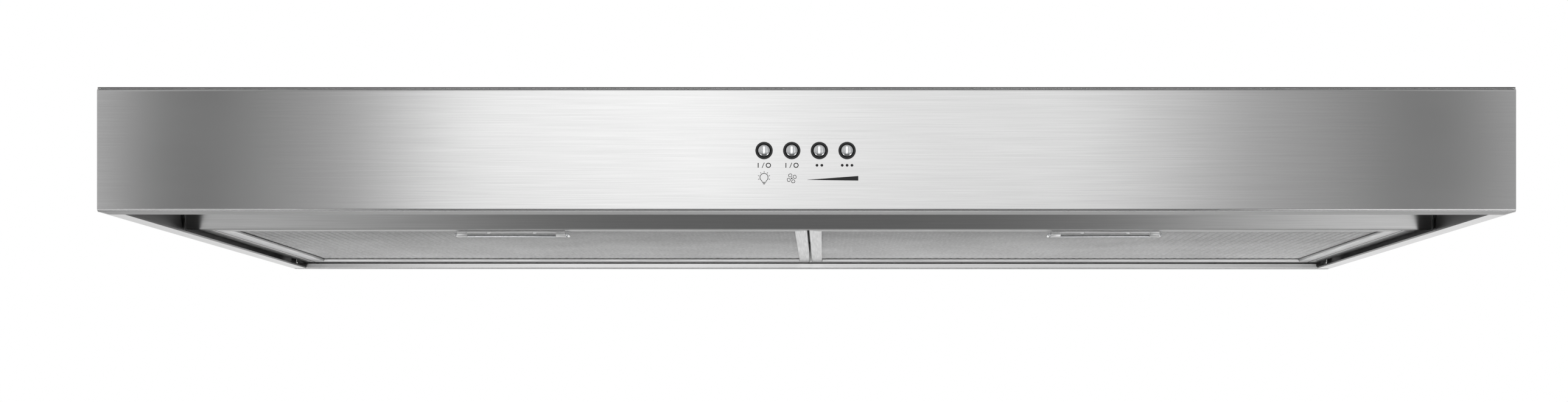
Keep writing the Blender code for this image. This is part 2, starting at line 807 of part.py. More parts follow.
def duct_outlet():
    """The box that turns the blower's air up into the duct, with its backdraft damper."""
    front, rear = DUCT_FRONT - 1.5 * MM, DUCT_BACK + 1.5 * MM
    half = DUCT_HALF + 1.5 * MM
    top_z = -SHEET - GAP
    box = add(
        "outlet_box",
        block((-half, front, SCROLL_BOTTOM - SHEET), (half, rear, top_z)),
        "galvanised",
    )
    room = block(
        (-half + SHEET, front + SHEET, SCROLL_BOTTOM), (half - SHEET, rear - SHEET, top_z + SHEET)
    )
    left = SCROLL_MIN * math.cos(SCROLL_START)
    right = SCROLL_MIN + SCROLL_GROWTH
    window = block(
        (left, front - SHEET, SCROLL_BOTTOM + SHEET), (right, front + 2 * SHEET, SCROLL_TOP - SHEET)
    )
    combine(box, [cutter(room), cutter(window)], "DIFFERENCE")
    stop = block(
        (-DUCT_HALF, front + SHEET + GAP, FLAP_AXIS_Z - 1.5 * MM),
        (DUCT_HALF, front + 7 * MM, FLAP_AXIS_Z - 0.7 * MM),
    )
    add("damper_stop", stop, "galvanised")
    pin = rod(
        1.5 * MM, (-DUCT_HALF, FLAP_AXIS_Y, FLAP_AXIS_Z), (DUCT_HALF, FLAP_AXIS_Y, FLAP_AXIS_Z), "X", 12
    )
    add("damper_pin", pin, "spring_steel", smooth=True)
    axis = pivot("damper_axis", (0, FLAP_AXIS_Y, FLAP_AXIS_Z))
    width = DUCT_HALF - 1.5 * MM
    flap = add(
        "damper_flap",
        block((-width, DUCT_FRONT + MM - FLAP_AXIS_Y, -0.4 * MM), (width, -1.9 * MM, 0.4 * MM)),
        "galvanised",
        axis,
    )
    barrel = cutter(rod(2.5 * MM, (-width, 0, 0), (width, 0, 0), "X", 16), axis)
    combine(flap, [barrel], "UNION")
    bore = cutter(rod(1.8 * MM, (-width - MM, 0, 0), (width + MM, 0, 0), "X", 16), axis)
    combine(flap, [bore], "DIFFERENCE")


# Wiring


def wiring():
    top_z = -SHEET - GAP
    low, high = (215 * MM, 152 * MM, -48 * MM), (335 * MM, 247 * MM, top_z)
    box = add("wiring_box", block(low, high), "galvanised")
    room = block(
        (low[0] + SHEET, low[1] + SHEET, low[2] - SHEET), (high[0] - SHEET, high[1] - SHEET, top_z - SHEET)
    )
    entry = rod(
        SUPPLY_RADIUS, (SUPPLY_X, SUPPLY_Y, top_z - 3 * SHEET), (SUPPLY_X, SUPPLY_Y, SHEET), "Z"
    )
    combine(box, [cutter(room), cutter(entry)], "DIFFERENCE")
    lid = block((low[0], low[1], low[2] - GAP - SHEET), (high[0], high[1], low[2] - GAP))
    add("wiring_box_cover", lid, "galvanised")
    terminal = block((235 * MM, 165 * MM, -24 * MM), (315 * MM, 183 * MM, top_z - SHEET - GAP))
    add("terminal_block", terminal, "white_plastic")
    can = rod(14 * MM, (142 * MM, 200 * MM, -17 * MM), (204 * MM, 200 * MM, -17 * MM), "X", 24)
    add("motor_capacitor", can, "white_plastic", smooth=True)
    add("control_cable", tube(cable_path(), 2.5 * MM, 8), "cable", smooth=True)


def cable_path():
    """From the back of the switches, over the lamp panel and under the top, to the wiring box."""
    stops = [
        (0, SWITCH_FRONT_Y + 18 * MM + 3 * GAP, BUTTON_Z),
        (0, SWITCH_FRONT_Y + 27 * MM, BUTTON_Z),
        (20 * MM, SWITCH_FRONT_Y + 42 * MM, -25 * MM),
        (70 * MM, -180 * MM, -8 * MM),
        (140 * MM, -150 * MM, -5 * MM),
        (195 * MM, -90 * MM, -5 * MM),
        (225 * MM, 0, -5 * MM),
        (250 * MM, 80 * MM, -7 * MM),
        (262 * MM, 120 * MM, -18 * MM),
        (265 * MM, 143 * MM, -26 * MM),
        (265 * MM, 152 * MM - 3 * GAP, -26 * MM),
    ]
    points = [Vector(p) for p in stops]
    path = []
    for i in range(len(points) - 1):
        before, start = points[max(i - 1, 0)], points[i]
        end, after = points[i + 1], points[min(i + 2, len(points) - 1)]
        for k in range(4):
            t = k / 4
            path.append(
                0.5
                * (
                    2 * start
                    + (end - before) * t
                    + (2 * before - 5 * start + 4 * end - after) * t * t
                    + (3 * start - before - 3 * end + after) * t * t * t
                )
            )
    path.append(points[-1])
    return path


def main():
    clear_scene()
    canopy()
    lamp_recess()
    push_buttons()
    filters()
    blower()
    duct_outlet()
    wiring()


main()
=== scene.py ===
"""Finished looks for a slim under cabinet range hood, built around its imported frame.

Each sub-assembly is a class whose fields are its sizes in metres. A method builds each piece,
dresses it in a finish and lets it ride on the body that carries it.
"""

import json
import logging
import math
from dataclasses import dataclass, field
from enum import Enum
from typing import Any, Callable, Iterable, Sequence

import bmesh
import bpy
import numpy as np
from mathutils import Matrix, Vector

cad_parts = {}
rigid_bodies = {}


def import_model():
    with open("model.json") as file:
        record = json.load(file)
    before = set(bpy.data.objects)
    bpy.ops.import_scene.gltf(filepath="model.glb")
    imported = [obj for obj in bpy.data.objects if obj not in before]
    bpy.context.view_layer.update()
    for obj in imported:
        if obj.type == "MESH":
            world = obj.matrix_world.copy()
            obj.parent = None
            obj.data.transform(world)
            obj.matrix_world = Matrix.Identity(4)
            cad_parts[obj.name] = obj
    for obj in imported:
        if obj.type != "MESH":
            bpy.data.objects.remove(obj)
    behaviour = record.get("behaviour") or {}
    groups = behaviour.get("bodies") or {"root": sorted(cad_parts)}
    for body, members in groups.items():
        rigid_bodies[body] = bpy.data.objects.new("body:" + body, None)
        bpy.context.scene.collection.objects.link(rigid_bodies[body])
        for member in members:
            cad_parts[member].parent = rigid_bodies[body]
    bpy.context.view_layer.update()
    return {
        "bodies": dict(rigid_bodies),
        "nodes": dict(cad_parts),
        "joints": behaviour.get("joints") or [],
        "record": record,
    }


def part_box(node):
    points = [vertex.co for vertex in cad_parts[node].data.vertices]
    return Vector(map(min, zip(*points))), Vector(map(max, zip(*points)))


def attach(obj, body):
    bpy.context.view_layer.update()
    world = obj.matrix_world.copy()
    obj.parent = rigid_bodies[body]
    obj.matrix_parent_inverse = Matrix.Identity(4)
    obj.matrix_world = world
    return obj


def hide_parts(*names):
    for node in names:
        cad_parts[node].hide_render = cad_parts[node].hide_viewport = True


LOG = logging.getLogger("range_hood")
MM = 0.001
ROOT = "root"

Point = tuple[float, float, float]
Profile = Sequence[tuple[float, float]]

BUTTONS = ("light", "fan", "medium", "high")


class Grain(Enum):
    """The direction that a sheet was brushed in."""

    ALONG_X = (1, 0, 0)
    ALONG_Y = (0, 1, 0)

    def scale(self, run_mm: float, pitch_mm: float) -> Point:
        """The cells to a metre on each axis, for marks of one length and pitch along the grain."""
        return tuple(1 / ((run_mm if part else pitch_mm) * MM) for part in self.value)


class Side(Enum):
    """Left and right as seen from the front, with the sign of X."""

    LEFT = -1
    RIGHT = 1

    @property
    def word(self) -> str:
        """The side's name as node names end in it."""
        return self.name.lower()


# Colour and node helpers


def from_hex(code: str) -> tuple[float, float, float, float]:
    """Turns an sRGB hex colour into linear RGBA.

    Args:
        code: Six hex digits after a hash sign.

    Returns:
        The linear colour with full alpha.
    """
    channels = (int(code[i : i + 2], 16) / 255 for i in (1, 3, 5))
    linear = [c / 12.92 if c <= 0.04045 else ((c + 0.055) / 1.055) ** 2.4 for c in channels]
    return (linear[0], linear[1], linear[2], 1.0)


def add_node(
    tree: bpy.types.NodeTree,
    kind: str,
    values: dict[Any, Any] | None = None,
    links: dict[Any, bpy.types.NodeSocket] | None = None,
    **settings: Any,
) -> bpy.types.Node:
    """Adds one node with its settings, socket values and links.

    Args:
        tree: The node tree that gets the node.
        kind: The node's type name without its ShaderNode prefix.
        values: Socket name or index, and the value that it holds.
        links: Socket name or index, and the output that feeds it.
        settings: Attributes of the node itself.

    Returns:
        The new node.
    """
    node = tree.nodes.new("ShaderNode" + kind)
    for name, setting in settings.items():
        setattr(node, name, setting)
    for socket, value in (values or {}).items():
        node.inputs[socket].default_value = value
    for socket, source in (links or {}).items():
        tree.links.new(source, node.inputs[socket])
    return node


def object_noise(tree: bpy.types.NodeTree, scale: float | Point, detail: float) -> bpy.types.NodeSocket:
    """Noise in a piece's own coordinates.

    Args:
        tree: The node tree.
        scale: The cells to a metre, as one number or as one for each axis.
        detail: The noise's detail.

    Returns:
        The noise's factor output.
    """
    where = add_node(tree, "TexCoord").outputs["Object"]
    if isinstance(scale, tuple):
        where = add_node(tree, "Mapping", {"Scale": scale}, {"Vector": where}).outputs[0]
        scale = 1.0
    return add_node(tree, "TexNoise", {"Scale": scale, "Detail": detail}, {"Vector": where}).outputs["Fac"]


def spread(
    tree: bpy.types.NodeTree, source: bpy.types.NodeSocket, low: float, high: float,
    start: float = 0.3, end: float = 0.7,
) -> bpy.types.NodeSocket:
    """Maps a factor from start and end to low and high.

    Args:
        tree: The node tree.
        source: The factor to map.
        low: The result at start.
        high: The result at end.
        start: The factor that gives low.
        end: The factor that gives high.

    Returns:
        The mapped value.
    """
    values = {"From Min": start, "From Max": end, "To Min": low, "To Max": high}
    return add_node(tree, "MapRange", values, {"Value": source}).outputs["Result"]


class Surface:
    """A material in the making, with its node tree and its Principled shader."""

    def __init__(self, name: str, **held: float) -> None:
        """Makes the material.

        Args:
            name: The material's name.
            held: The shader's sockets that hold one value all over, with _ for each space.
        """
        self.material = bpy.data.materials.new(name)
        self.material.use_nodes = True
        self.tree = self.material.node_tree
        self.shader = self.tree.nodes["Principled BSDF"]
        for socket, value in held.items():
            self.shader.inputs[socket.replace("_", " ")].default_value = value

    def feed(self, socket: str, source: bpy.types.NodeSocket) -> None:
        """Links a node's output to one of the shader's sockets."""
        self.tree.links.new(source, self.shader.inputs[socket])

    def tone(self, factor: bpy.types.NodeSocket, first: str, second: str) -> None:
        """Colours the surface with two hex colours, mixed by a factor."""
        ends = {6: from_hex(first), 7: from_hex(second)}
        self.feed("Base Color", add_node(self.tree, "Mix", ends, {0: factor}, data_type="RGBA").outputs[2])

    def emboss(self, height: bpy.types.NodeSocket, strength: float, depth_mm: float = 0.05) -> None:
        """Raises the surface by a pattern, through its normals."""
        amounts = {"Strength": strength, "Distance": depth_mm * MM}
        bump = add_node(self.tree, "Bump", amounts, {"Height": height})
        self.feed("Normal", bump.outputs[0])

    def brush(self, grain: Grain) -> None:
        """Turns the blur of reflections across a grain, which turns with its piece."""
        axis = add_node(self.tree, "CombineXYZ", dict(enumerate(grain.value)))
        turned = add_node(
            self.tree, "VectorTransform", links={0: axis.outputs[0]},
            vector_type="VECTOR", convert_from="OBJECT", convert_to="WORLD",
        )
        self.feed("Tangent", turned.outputs[0])


# Finishes


QUARTER_TURN = 0.25  # Anisotropic Rotation that lays the blur across the grain.


@dataclass(frozen=True)
class BrushedStainless:
    """Type 430 stainless sheet, belt brushed along one axis and left bare.

    The grain blurs reflections across itself and keeps them along itself, so lights show as
    bands that cross the brushing. Its marks are about 0.1 mm apart, which is too fine to
    show, so they are drawn at about half a millimetre.
    """

    name: str
    grain: Grain = Grain.ALONG_X
    light: str = "#C3C3C3"
    dark: str = "#BDBDBD"
    roughness: float = 0.2
    stretch: float = 1.0
    relief: float = 0.05
    uneven: float = 0.012
    mark_mm: tuple[float, float] = (45, 0.42)
    streak_mm: tuple[float, float] = (70, 1.6)
    streak_share: float = 0.25
    smear_scale: float = 9.0

    def material(self) -> bpy.types.Material:
        """Builds the finish, with its grain in colour, roughness and bump."""
        made = Surface(self.name, Metallic=1.0, Anisotropic=self.stretch, Anisotropic_Rotation=QUARTER_TURN)
        tree, level, uneven = made.tree, self.roughness, self.uneven
        marks = object_noise(tree, self.grain.scale(*self.mark_mm), 2.0)
        streaks = object_noise(tree, self.grain.scale(*self.streak_mm), 2.0)
        pair = {2: marks, 3: streaks}
        both = add_node(tree, "Mix", {0: self.streak_share}, pair, data_type="FLOAT").outputs[0]
        made.tone(spread(tree, both, 0, 1), self.light, self.dark)
        rough = spread(tree, both, level - uneven, level + uneven)
        worn = spread(tree, object_noise(tree, self.smear_scale, 2.0), -uneven, uneven)
        made.feed("Roughness", add_node(tree, "Math", links={0: rough, 1: worn}, operation="ADD").outputs[0])
        made.emboss(marks, self.relief)
        made.brush(self.grain)
        return made.material


@dataclass(frozen=True)
class GalvanisedSteel:
    """Hot dip galvanised sheet, whose zinc froze in grey flakes about 8 mm across."""

    name: str = "galvanised_steel"
    flake_mm: float = 8.0

    def material(self) -> bpy.types.Material:
        """Builds the finish from a cell pattern, one tone and roughness to each flake."""
        made = Surface(self.name, Metallic=1.0)
        where = add_node(made.tree, "TexCoord").outputs["Object"]
        cells = add_node(made.tree, "TexVoronoi", {"Scale": 1 / (self.flake_mm * MM)}, {"Vector": where})
        flake = add_node(made.tree, "SeparateColor", links={0: cells.outputs["Color"]}).outputs[0]
        made.tone(flake, "#A3A8AB", "#BFC3C5")
        made.feed("Roughness", spread(made.tree, flake, 0.36, 0.52, 0, 1))
        return made.material


@dataclass(frozen=True)
class RolledAluminium:
    """Mill finish aluminium strip, with faint rolling lines along its length."""

    name: str
    grain: Grain = Grain.ALONG_X
    light: str = "#F0F0F0"
    dark: str = "#DEDEDE"
    roughness: float = 0.34
    stretch: float = 0.8
    line_mm: tuple[float, float] = (40, 0.7)

    def material(self) -> bpy.types.Material:
        """Builds the finish, with faint lines and a little tarnish."""
        made = Surface(self.name, Metallic=1.0, Anisotropic=self.stretch, Anisotropic_Rotation=QUARTER_TURN)
        lines = object_noise(made.tree, self.grain.scale(*self.line_mm), 2.0)
        made.tone(spread(made.tree, lines, 0, 1), self.light, self.dark)
        made.feed("Roughness", spread(made.tree, lines, self.roughness - 0.05, self.roughness + 0.08))
        made.brush(self.grain)
        return made.material


@dataclass(frozen=True)
class ExpandedAluminium:
    """Slit and stretched aluminium foil, bright on its cut edges and duller on its faces."""

    name: str
    light: str
    dark: str
    roughness: float = 0.4
    patch_scale: float = 14.0
    strand_mm: float = 2.2

    def material(self) -> bpy.types.Material:
        """Builds the finish, mottled at the size of a hand's width and of one strand."""
        made = Surface(self.name, Metallic=1.0)
        broad = object_noise(made.tree, self.patch_scale, 3.0)
        fine = object_noise(made.tree, 1 / (self.strand_mm * MM), 1.0)
        both = add_node(made.tree, "Mix", {0: 0.5}, {2: broad, 3: fine}, data_type="FLOAT").outputs[0]
        made.tone(spread(made.tree, both, 0, 1, 0.35, 0.65), self.light, self.dark)
        made.feed("Roughness", spread(made.tree, fine, self.roughness - 0.08, self.roughness + 0.1))
        return made.material


@dataclass(frozen=True)
class PlainMetal:
    """A small bare or plated metal piece, with fine uneven polish."""

    name: str
    light: str
    dark: str
    roughness: float
    mottle_mm: float = 1.5

    def material(self) -> bpy.types.Material:
        """Builds the finish with millimetre mottling in tone and roughness."""
        made = Surface(self.name, Metallic=1.0)
        mottle = object_noise(made.tree, 1 / (self.mottle_mm * MM), 3.0)
        made.tone(spread(made.tree, mottle, 0, 1), self.light, self.dark)
        made.feed("Roughness", spread(made.tree, mottle, self.roughness - 0.03, self.roughness + 0.05))
        return made.material


@dataclass(frozen=True)
class MouldedPolymer:
    """An injection moulded or pressed polymer with a fine spark-eroded texture."""

    name: str
    light: str
    dark: str
    roughness: float
    grain_mm: float = 0.6
    ior: float = 1.5
    relief: float = 0.08
    drift_scale: float = 30.0

    def material(self) -> bpy.types.Material:
        """Builds the finish, with grain in bump and roughness and a slight colour drift."""
        made = Surface(self.name, IOR=self.ior)
        grain = object_noise(made.tree, 1 / (self.grain_mm * MM), 2.0)
        drift = object_noise(made.tree, self.drift_scale, 1.0)
        made.tone(spread(made.tree, drift, 0, 1), self.light, self.dark)
        made.feed("Roughness", spread(made.tree, grain, self.roughness - 0.05, self.roughness + 0.07))
        made.emboss(grain, self.relief)
        return made.material


@dataclass(frozen=True)
class FrostedPolycarbonate:
    """A milky polycarbonate lens, moulded with fine concentric prisms 1.4 mm apart."""

    name: str = "frosted_polycarbonate"
    ring_mm: float = 1.4
    waves_to_scale: float = 0.314

    def material(self) -> bpy.types.Material:
        """Builds the finish, with the prisms as rings about each lamp's own axis."""
        made = Surface(self.name, IOR=1.58, Subsurface_Weight=0.2)
        rings = add_node(
            made.tree,
            "TexWave",
            {"Scale": self.waves_to_scale / (self.ring_mm * MM), "Distortion": 0.0},
            {"Vector": add_node(made.tree, "TexCoord").outputs["Object"]},
            wave_type="RINGS",
            rings_direction="Z",
        ).outputs["Fac"]
        made.tone(rings, "#F4F4F0", "#DCDDD8")
        made.feed("Roughness", spread(made.tree, rings, 0.22, 0.34, 0, 1))
        made.emboss(rings, 0.5, 0.25)
        return made.material


@dataclass
class Finishes:
    """Every finish of the hood, built once and shared by the pieces that wear it."""

    made: dict[str, bpy.types.Material] = field(default_factory=dict)

    def get(self, finish: Any) -> bpy.types.Material:
        """Gives a finish's material, building it the first time."""
        if finish.name not in self.made:
            self.made[finish.name] = finish.material()
        return self.made[finish.name]


STAINLESS = BrushedStainless("brushed_stainless_across")
# A darker copy of the stainless, brushed front to back, for the side panels and rails: painted shade that
# tones down their light.
STAINLESS_ALONG_Y_SHADED = BrushedStainless("brushed_stainless_front_to_back", Grain.ALONG_Y, "#A8A8A8", "#A0A0A0")
GALVANISED = GalvanisedSteel()
# A darker copy of the stainless for the inner band and the fascia's return flange: painted shade for their
# shadowed undersides.
STAINLESS_PAINTED_SHADE = BrushedStainless(
    "brushed_stainless_inner", light="#AEAEAE", dark="#A2A2A2", roughness=0.34, stretch=0.5
)
# A dark finish for a strip along the top edge: painted shade that stands in for the seam's shadow.
SEAM_SHADE_PAINT = MouldedPolymer("sheared_steel_edge", "#787878", "#686868", 0.6, 0.5)
FRAME_ALUMINIUM = RolledAluminium("rolled_aluminium_across")
FRAME_ALUMINIUM_DEEP = RolledAluminium("rolled_aluminium_front_to_back", Grain.ALONG_Y)
MESH_ALUMINIUM = ExpandedAluminium("expanded_aluminium", "#DCDCDC", "#C4C4C4")
BACKING_ALUMINIUM = ExpandedAluminium("expanded_aluminium_backing", "#B4B4B4", "#989898", 0.5)
CHROME = PlainMetal("polished_chrome", "#E6E7E8", "#D2D4D6", 0.12)
ZINC = PlainMetal("zinc_plated_screw", "#C9CBCC", "#A9ACAE", 0.28)
SPRING = PlainMetal("spring_steel", "#A6A7A9", "#85868A", 0.3)
BLACK_ABS = MouldedPolymer("black_abs", "#17181A", "#101113", 0.38)
WHITE_PC = MouldedPolymer("white_polycarbonate", "#E9E9E4", "#DEDED8", 0.42)
RUBBER = MouldedPolymer("moulded_rubber", "#1C1C1D", "#131314", 0.75, 1.0)
SHEATH = MouldedPolymer("pvc_sheath", "#232426", "#191A1C", 0.48, 1.2)
INK = MouldedPolymer("screen_print_ink", "#1B1B1C", "#141415", 0.55, 0.4, 1.5, 0.02)
LENS = FrostedPolycarbonate()


# Mesh helpers


@dataclass
class Workshop:
    """Turns meshes into pieces of the hood, and dresses the frame's own nodes."""

    frame: dict[str, Any]
    finishes: Finishes = field(default_factory=Finishes)

    def piece(
        self,
        name: str,
        shape: bmesh.types.BMesh | bpy.types.Mesh,
        finish: Any,
        body: str,
        slot: str,
        replaces: Iterable[str] = (),
        place: Matrix | None = None,
        smooth: float | None = 35.0,
    ) -> bpy.types.Object:
        """Makes a piece from a mesh or a bmesh.

        Args:
            name: The piece's name.
            shape: Its mesh, or its bmesh, which is freed here.
            finish: The finish that it wears.
            body: The body that it rides on.
            slot: The record's material slot that the piece belongs to. It is not used.
            replaces: The frame's nodes that it stands for.
            place: Its matrix, where the mesh isn't in the row frame.
            smooth: The angle in degrees above which an edge stays sharp, or None for flat.

        Returns:
            The piece.
        """
        mesh = shape if isinstance(shape, bpy.types.Mesh) else meshed(name, shape)
        if smooth is not None:
            mesh.shade_smooth()
            mesh.set_sharp_from_angle(angle=math.radians(smooth))
        mesh.materials.append(self.finishes.get(finish))
        made = bpy.data.objects.new(name, mesh)
        bpy.context.scene.collection.objects.link(made)
        if place is not None:
            made.matrix_world = place
            bpy.context.view_layer.update()
        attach(made, body)
        if replaces:
            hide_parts(*replaces)
        LOG.info("%s rides on %s", name, body)
        return made

    def dress(self, nodes: Iterable[str], finish: Any, round_mm: float = 0.0, segments: int = 2) -> None:
        """Gives nodes of the frame a finish, and welds and rounds their edges.

        Args:
            nodes: The names of the nodes.
            finish: The finish that they wear.
            round_mm: The radius of their edges, or 0 to leave them sharp.
            segments: The steps round each edge.
        """
        for name in nodes:
            node = self.frame["nodes"][name]
            for entry in node.material_slots:
                entry.material = self.finishes.get(finish)
            if round_mm:
                node.modifiers.new("weld", "WELD").merge_threshold = 0.01 * MM
                round_edges(node, round_mm * MM, 30, segments)
            LOG.info("%s is dressed in %s", name, finish.name)


def meshed(name: str, bm: bmesh.types.BMesh) -> bpy.types.Mesh:
    """Turns a bmesh into a mesh with its faces outward, and frees it."""
    bmesh.ops.recalc_face_normals(bm, faces=bm.faces[:])
    mesh = bpy.data.meshes.new(name)
    bm.to_mesh(mesh)
    bm.free()
    return mesh


def round_edges(made: bpy.types.Object, radius: float, angle: float, segments: int = 2) -> bpy.types.Modifier:
    """Bevels the edges of an object that are sharper than an angle in degrees."""
    bevel = made.modifiers.new("edge", "BEVEL")
    bevel.width = radius
    bevel.segments = segments
    bevel.limit_method = "ANGLE"
    bevel.angle_limit = math.radians(angle)
    return bevel


def skinned(rings: Sequence[Sequence[Any]], looped: bool = False) -> bmesh.types.BMesh:
    """Faces from each ring of points to the next.

    Args:
        rings: Rings of one length.
        looped: True if the last ring joins the first. Both are capped otherwise.

    Returns:
        The closed body.
    """
    bm = bmesh.new()
    loops = [[bm.verts.new(point) for point in ring] for ring in rings]
    for near, far in zip(loops, loops[1:] + (loops[:1] if looped else [])):
        for i in range(len(near)):
            j = (i + 1) % len(near)
            bm.faces.new((near[i], near[j], far[j], far[i]))
    if not looped:
        bm.faces.new(loops[0])
        bm.faces.new(loops[-1])
    return bm


def drawn(profile: Profile, start: float, end: float) -> bmesh.types.BMesh:
    """A closed (y, z) profile drawn out along X, from start to end."""
    return skinned([[(x, y, z) for y, z in profile] for x in (start, end)])


def slab(low: Point, high: Point, round_by: float = 0.0, steps: int = 2) -> bmesh.types.BMesh:
    """A box between two corners, with rounded edges.

    Args:
        low: The lowest corner.
        high: The highest corner.
        round_by: The radius of the edges.
        steps: The steps round each edge.

    Returns:
        The closed body.
    """
    bm = drawn([(low[1], low[2]), (high[1], low[2]), (high[1], high[2]), (low[1], high[2])], low[0], high[0])
    if round_by:
        bmesh.ops.bevel(
            bm, geom=bm.edges[:] + bm.verts[:], offset=round_by, segments=steps, affect="EDGES", profile=0.5
        )
    return bm


def lathe(profile: Profile, steps: int = 48) -> bmesh.types.BMesh:
    """A closed (radius, height) profile turned about Z.

    Args:
        profile: The outline's points, of which some may lie on the axis.
        steps: The steps round the axis.

    Returns:
        The closed body.
    """
    bm = bmesh.new()
    turn = math.tau / steps
    rings = [
        [
            bm.verts.new((radius * math.cos(turn * i), radius * math.sin(turn * i), height))
            for i in range(steps if radius > 0 else 1)
        ]
        for radius, height in profile
    ]
    for k, near in enumerate(rings):
        far = rings[(k + 1) % len(rings)]
        if len(near) == 1 and len(far) == 1:
            continue
        for i in range(steps):
            j = (i + 1) % steps
            corners = (near[i % len(near)], near[j % len(near)], far[j % len(far)], far[i % len(far)])
            bm.faces.new(list(dict.fromkeys(corners)))
    return bm


def arc(
    centre: tuple[float, float], radius: float, start: float, end: float, steps: int = 5
) -> list[tuple[float, float]]:
    """Points along an arc in degrees, from start to end."""
    angles = (math.radians(start + (end - start) * i / steps) for i in range(steps + 1))
    return [(centre[0] + radius * math.cos(a), centre[1] + radius * math.sin(a)) for a in angles]


def headings(path: Sequence[Vector], closed: bool) -> list[Vector]:
    """The direction of a path at each of its points."""
    before = [path[-1] if closed else path[0], *path[:-1]]
    after = [*path[1:], path[0] if closed else path[-1]]
    return [(b - a).normalized() for a, b in zip(before, after)]


def wire(path: Sequence[Vector], radius: float, sides: int = 12, closed: bool = False) -> bmesh.types.BMesh:
    """A round wire along a path.

    Args:
        path: The points of its centre line.
        radius: The wire's radius.
        sides: The sides of its section.
        closed: True if the last point joins the first.

    Returns:
        The closed body.
    """
    side: Vector | None = None
    turn = math.tau / sides
    rings = []
    for point, way in zip(path, headings(path, closed)):
        side = way.orthogonal() if side is None else side - way * side.dot(way)
        side = side.normalized()
        up = way.cross(side)
        rings.append(
            [point + radius * (math.cos(turn * k) * side + math.sin(turn * k) * up) for k in range(sides)]
        )
    return skinned(rings, closed)


def moved(bm: bmesh.types.BMesh, matrix: Matrix) -> bmesh.types.BMesh:
    """The same bmesh after a transform."""
    bmesh.ops.transform(bm, matrix=matrix, verts=bm.verts[:])
    return bm


def joined(parts: Sequence[bmesh.types.BMesh]) -> bmesh.types.BMesh:
    """Several bodies in one bmesh, for small fittings of one kind."""
    whole = bmesh.new()
    for part in parts:
        step = bpy.data.meshes.new("part")
        part.to_mesh(step)
        part.free()
        whole.from_mesh(step)
        bpy.data.meshes.remove(step)
    return whole


def middle(name: str) -> tuple[float, float, float]:
    """The middle of a node's box."""
    low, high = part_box(name)
    return tuple((a + b) / 2 for a, b in zip(low, high))


def facing(place: Point, normal: Point) -> Matrix:
    """The matrix that takes +Z to a normal and the origin to a place."""
    turn = Vector((0, 0, 1)).rotation_difference(Vector(normal)).to_matrix().to_4x4()
    return Matrix.Translation(place) @ turn


PAN_HEIGHT = 0.62  # A pan head's height over its radius.


def pan_screw(radius: float = 3.4 * MM) -> bmesh.types.BMesh:
    """A pan head screw with a cross recess, seated at z = 0 and facing +Z.

    Args:
        radius: The radius of its head.

    Returns:
        The closed body.
    """
    tall = radius * PAN_HEIGHT
    head = [(0, tall), *arc((radius * 0.3, tall - radius * 0.42), radius * 0.42, 80, 10, 4)]
    head = [(r if i == 0 else r + radius * 0.25, z) for i, (r, z) in enumerate(head)]
    bm = lathe([*head, (radius, 0.25 * tall), (radius, 0), (0, 0)], 24)
    arms = []
    for quarter in range(2):
        arm = slab((-radius * 0.52, -radius * 0.11, tall * 0.45), (radius * 0.52, radius * 0.11, tall * 2))
        arms.append(moved(arm, Matrix.Rotation(quarter * math.pi / 2, 4, "Z")))
    return carved(bm, arms)


def carved(bm: bmesh.types.BMesh, tools: Sequence[bmesh.types.BMesh]) -> bmesh.types.BMesh:
    """Cuts tools out of a closed body with the exact solver.

    Args:
        bm: The body.
        tools: The shapes to cut, all freed here.

    Returns:
        The cut body.
    """
    objects = []
    for i, source in enumerate([bm, *tools]):
        made = bpy.data.objects.new(f"step_{i}", meshed(f"step_{i}", source))
        bpy.context.scene.collection.objects.link(made)
        objects.append(made)
    for tool in objects[1:]:
        step = objects[0].modifiers.new("cut", "BOOLEAN")
        step.object = tool
        step.operation = "DIFFERENCE"
        step.solver = "EXACT"
    bpy.context.view_layer.update()
    seen = objects[0].evaluated_get(bpy.context.evaluated_depsgraph_get())
    result = bmesh.new()
    result.from_mesh(seen.to_mesh())
    seen.to_mesh_clear()
    for made in objects:
        mesh = made.data
        bpy.data.objects.remove(made)
        bpy.data.meshes.remove(mesh)
    return result


# Canopy


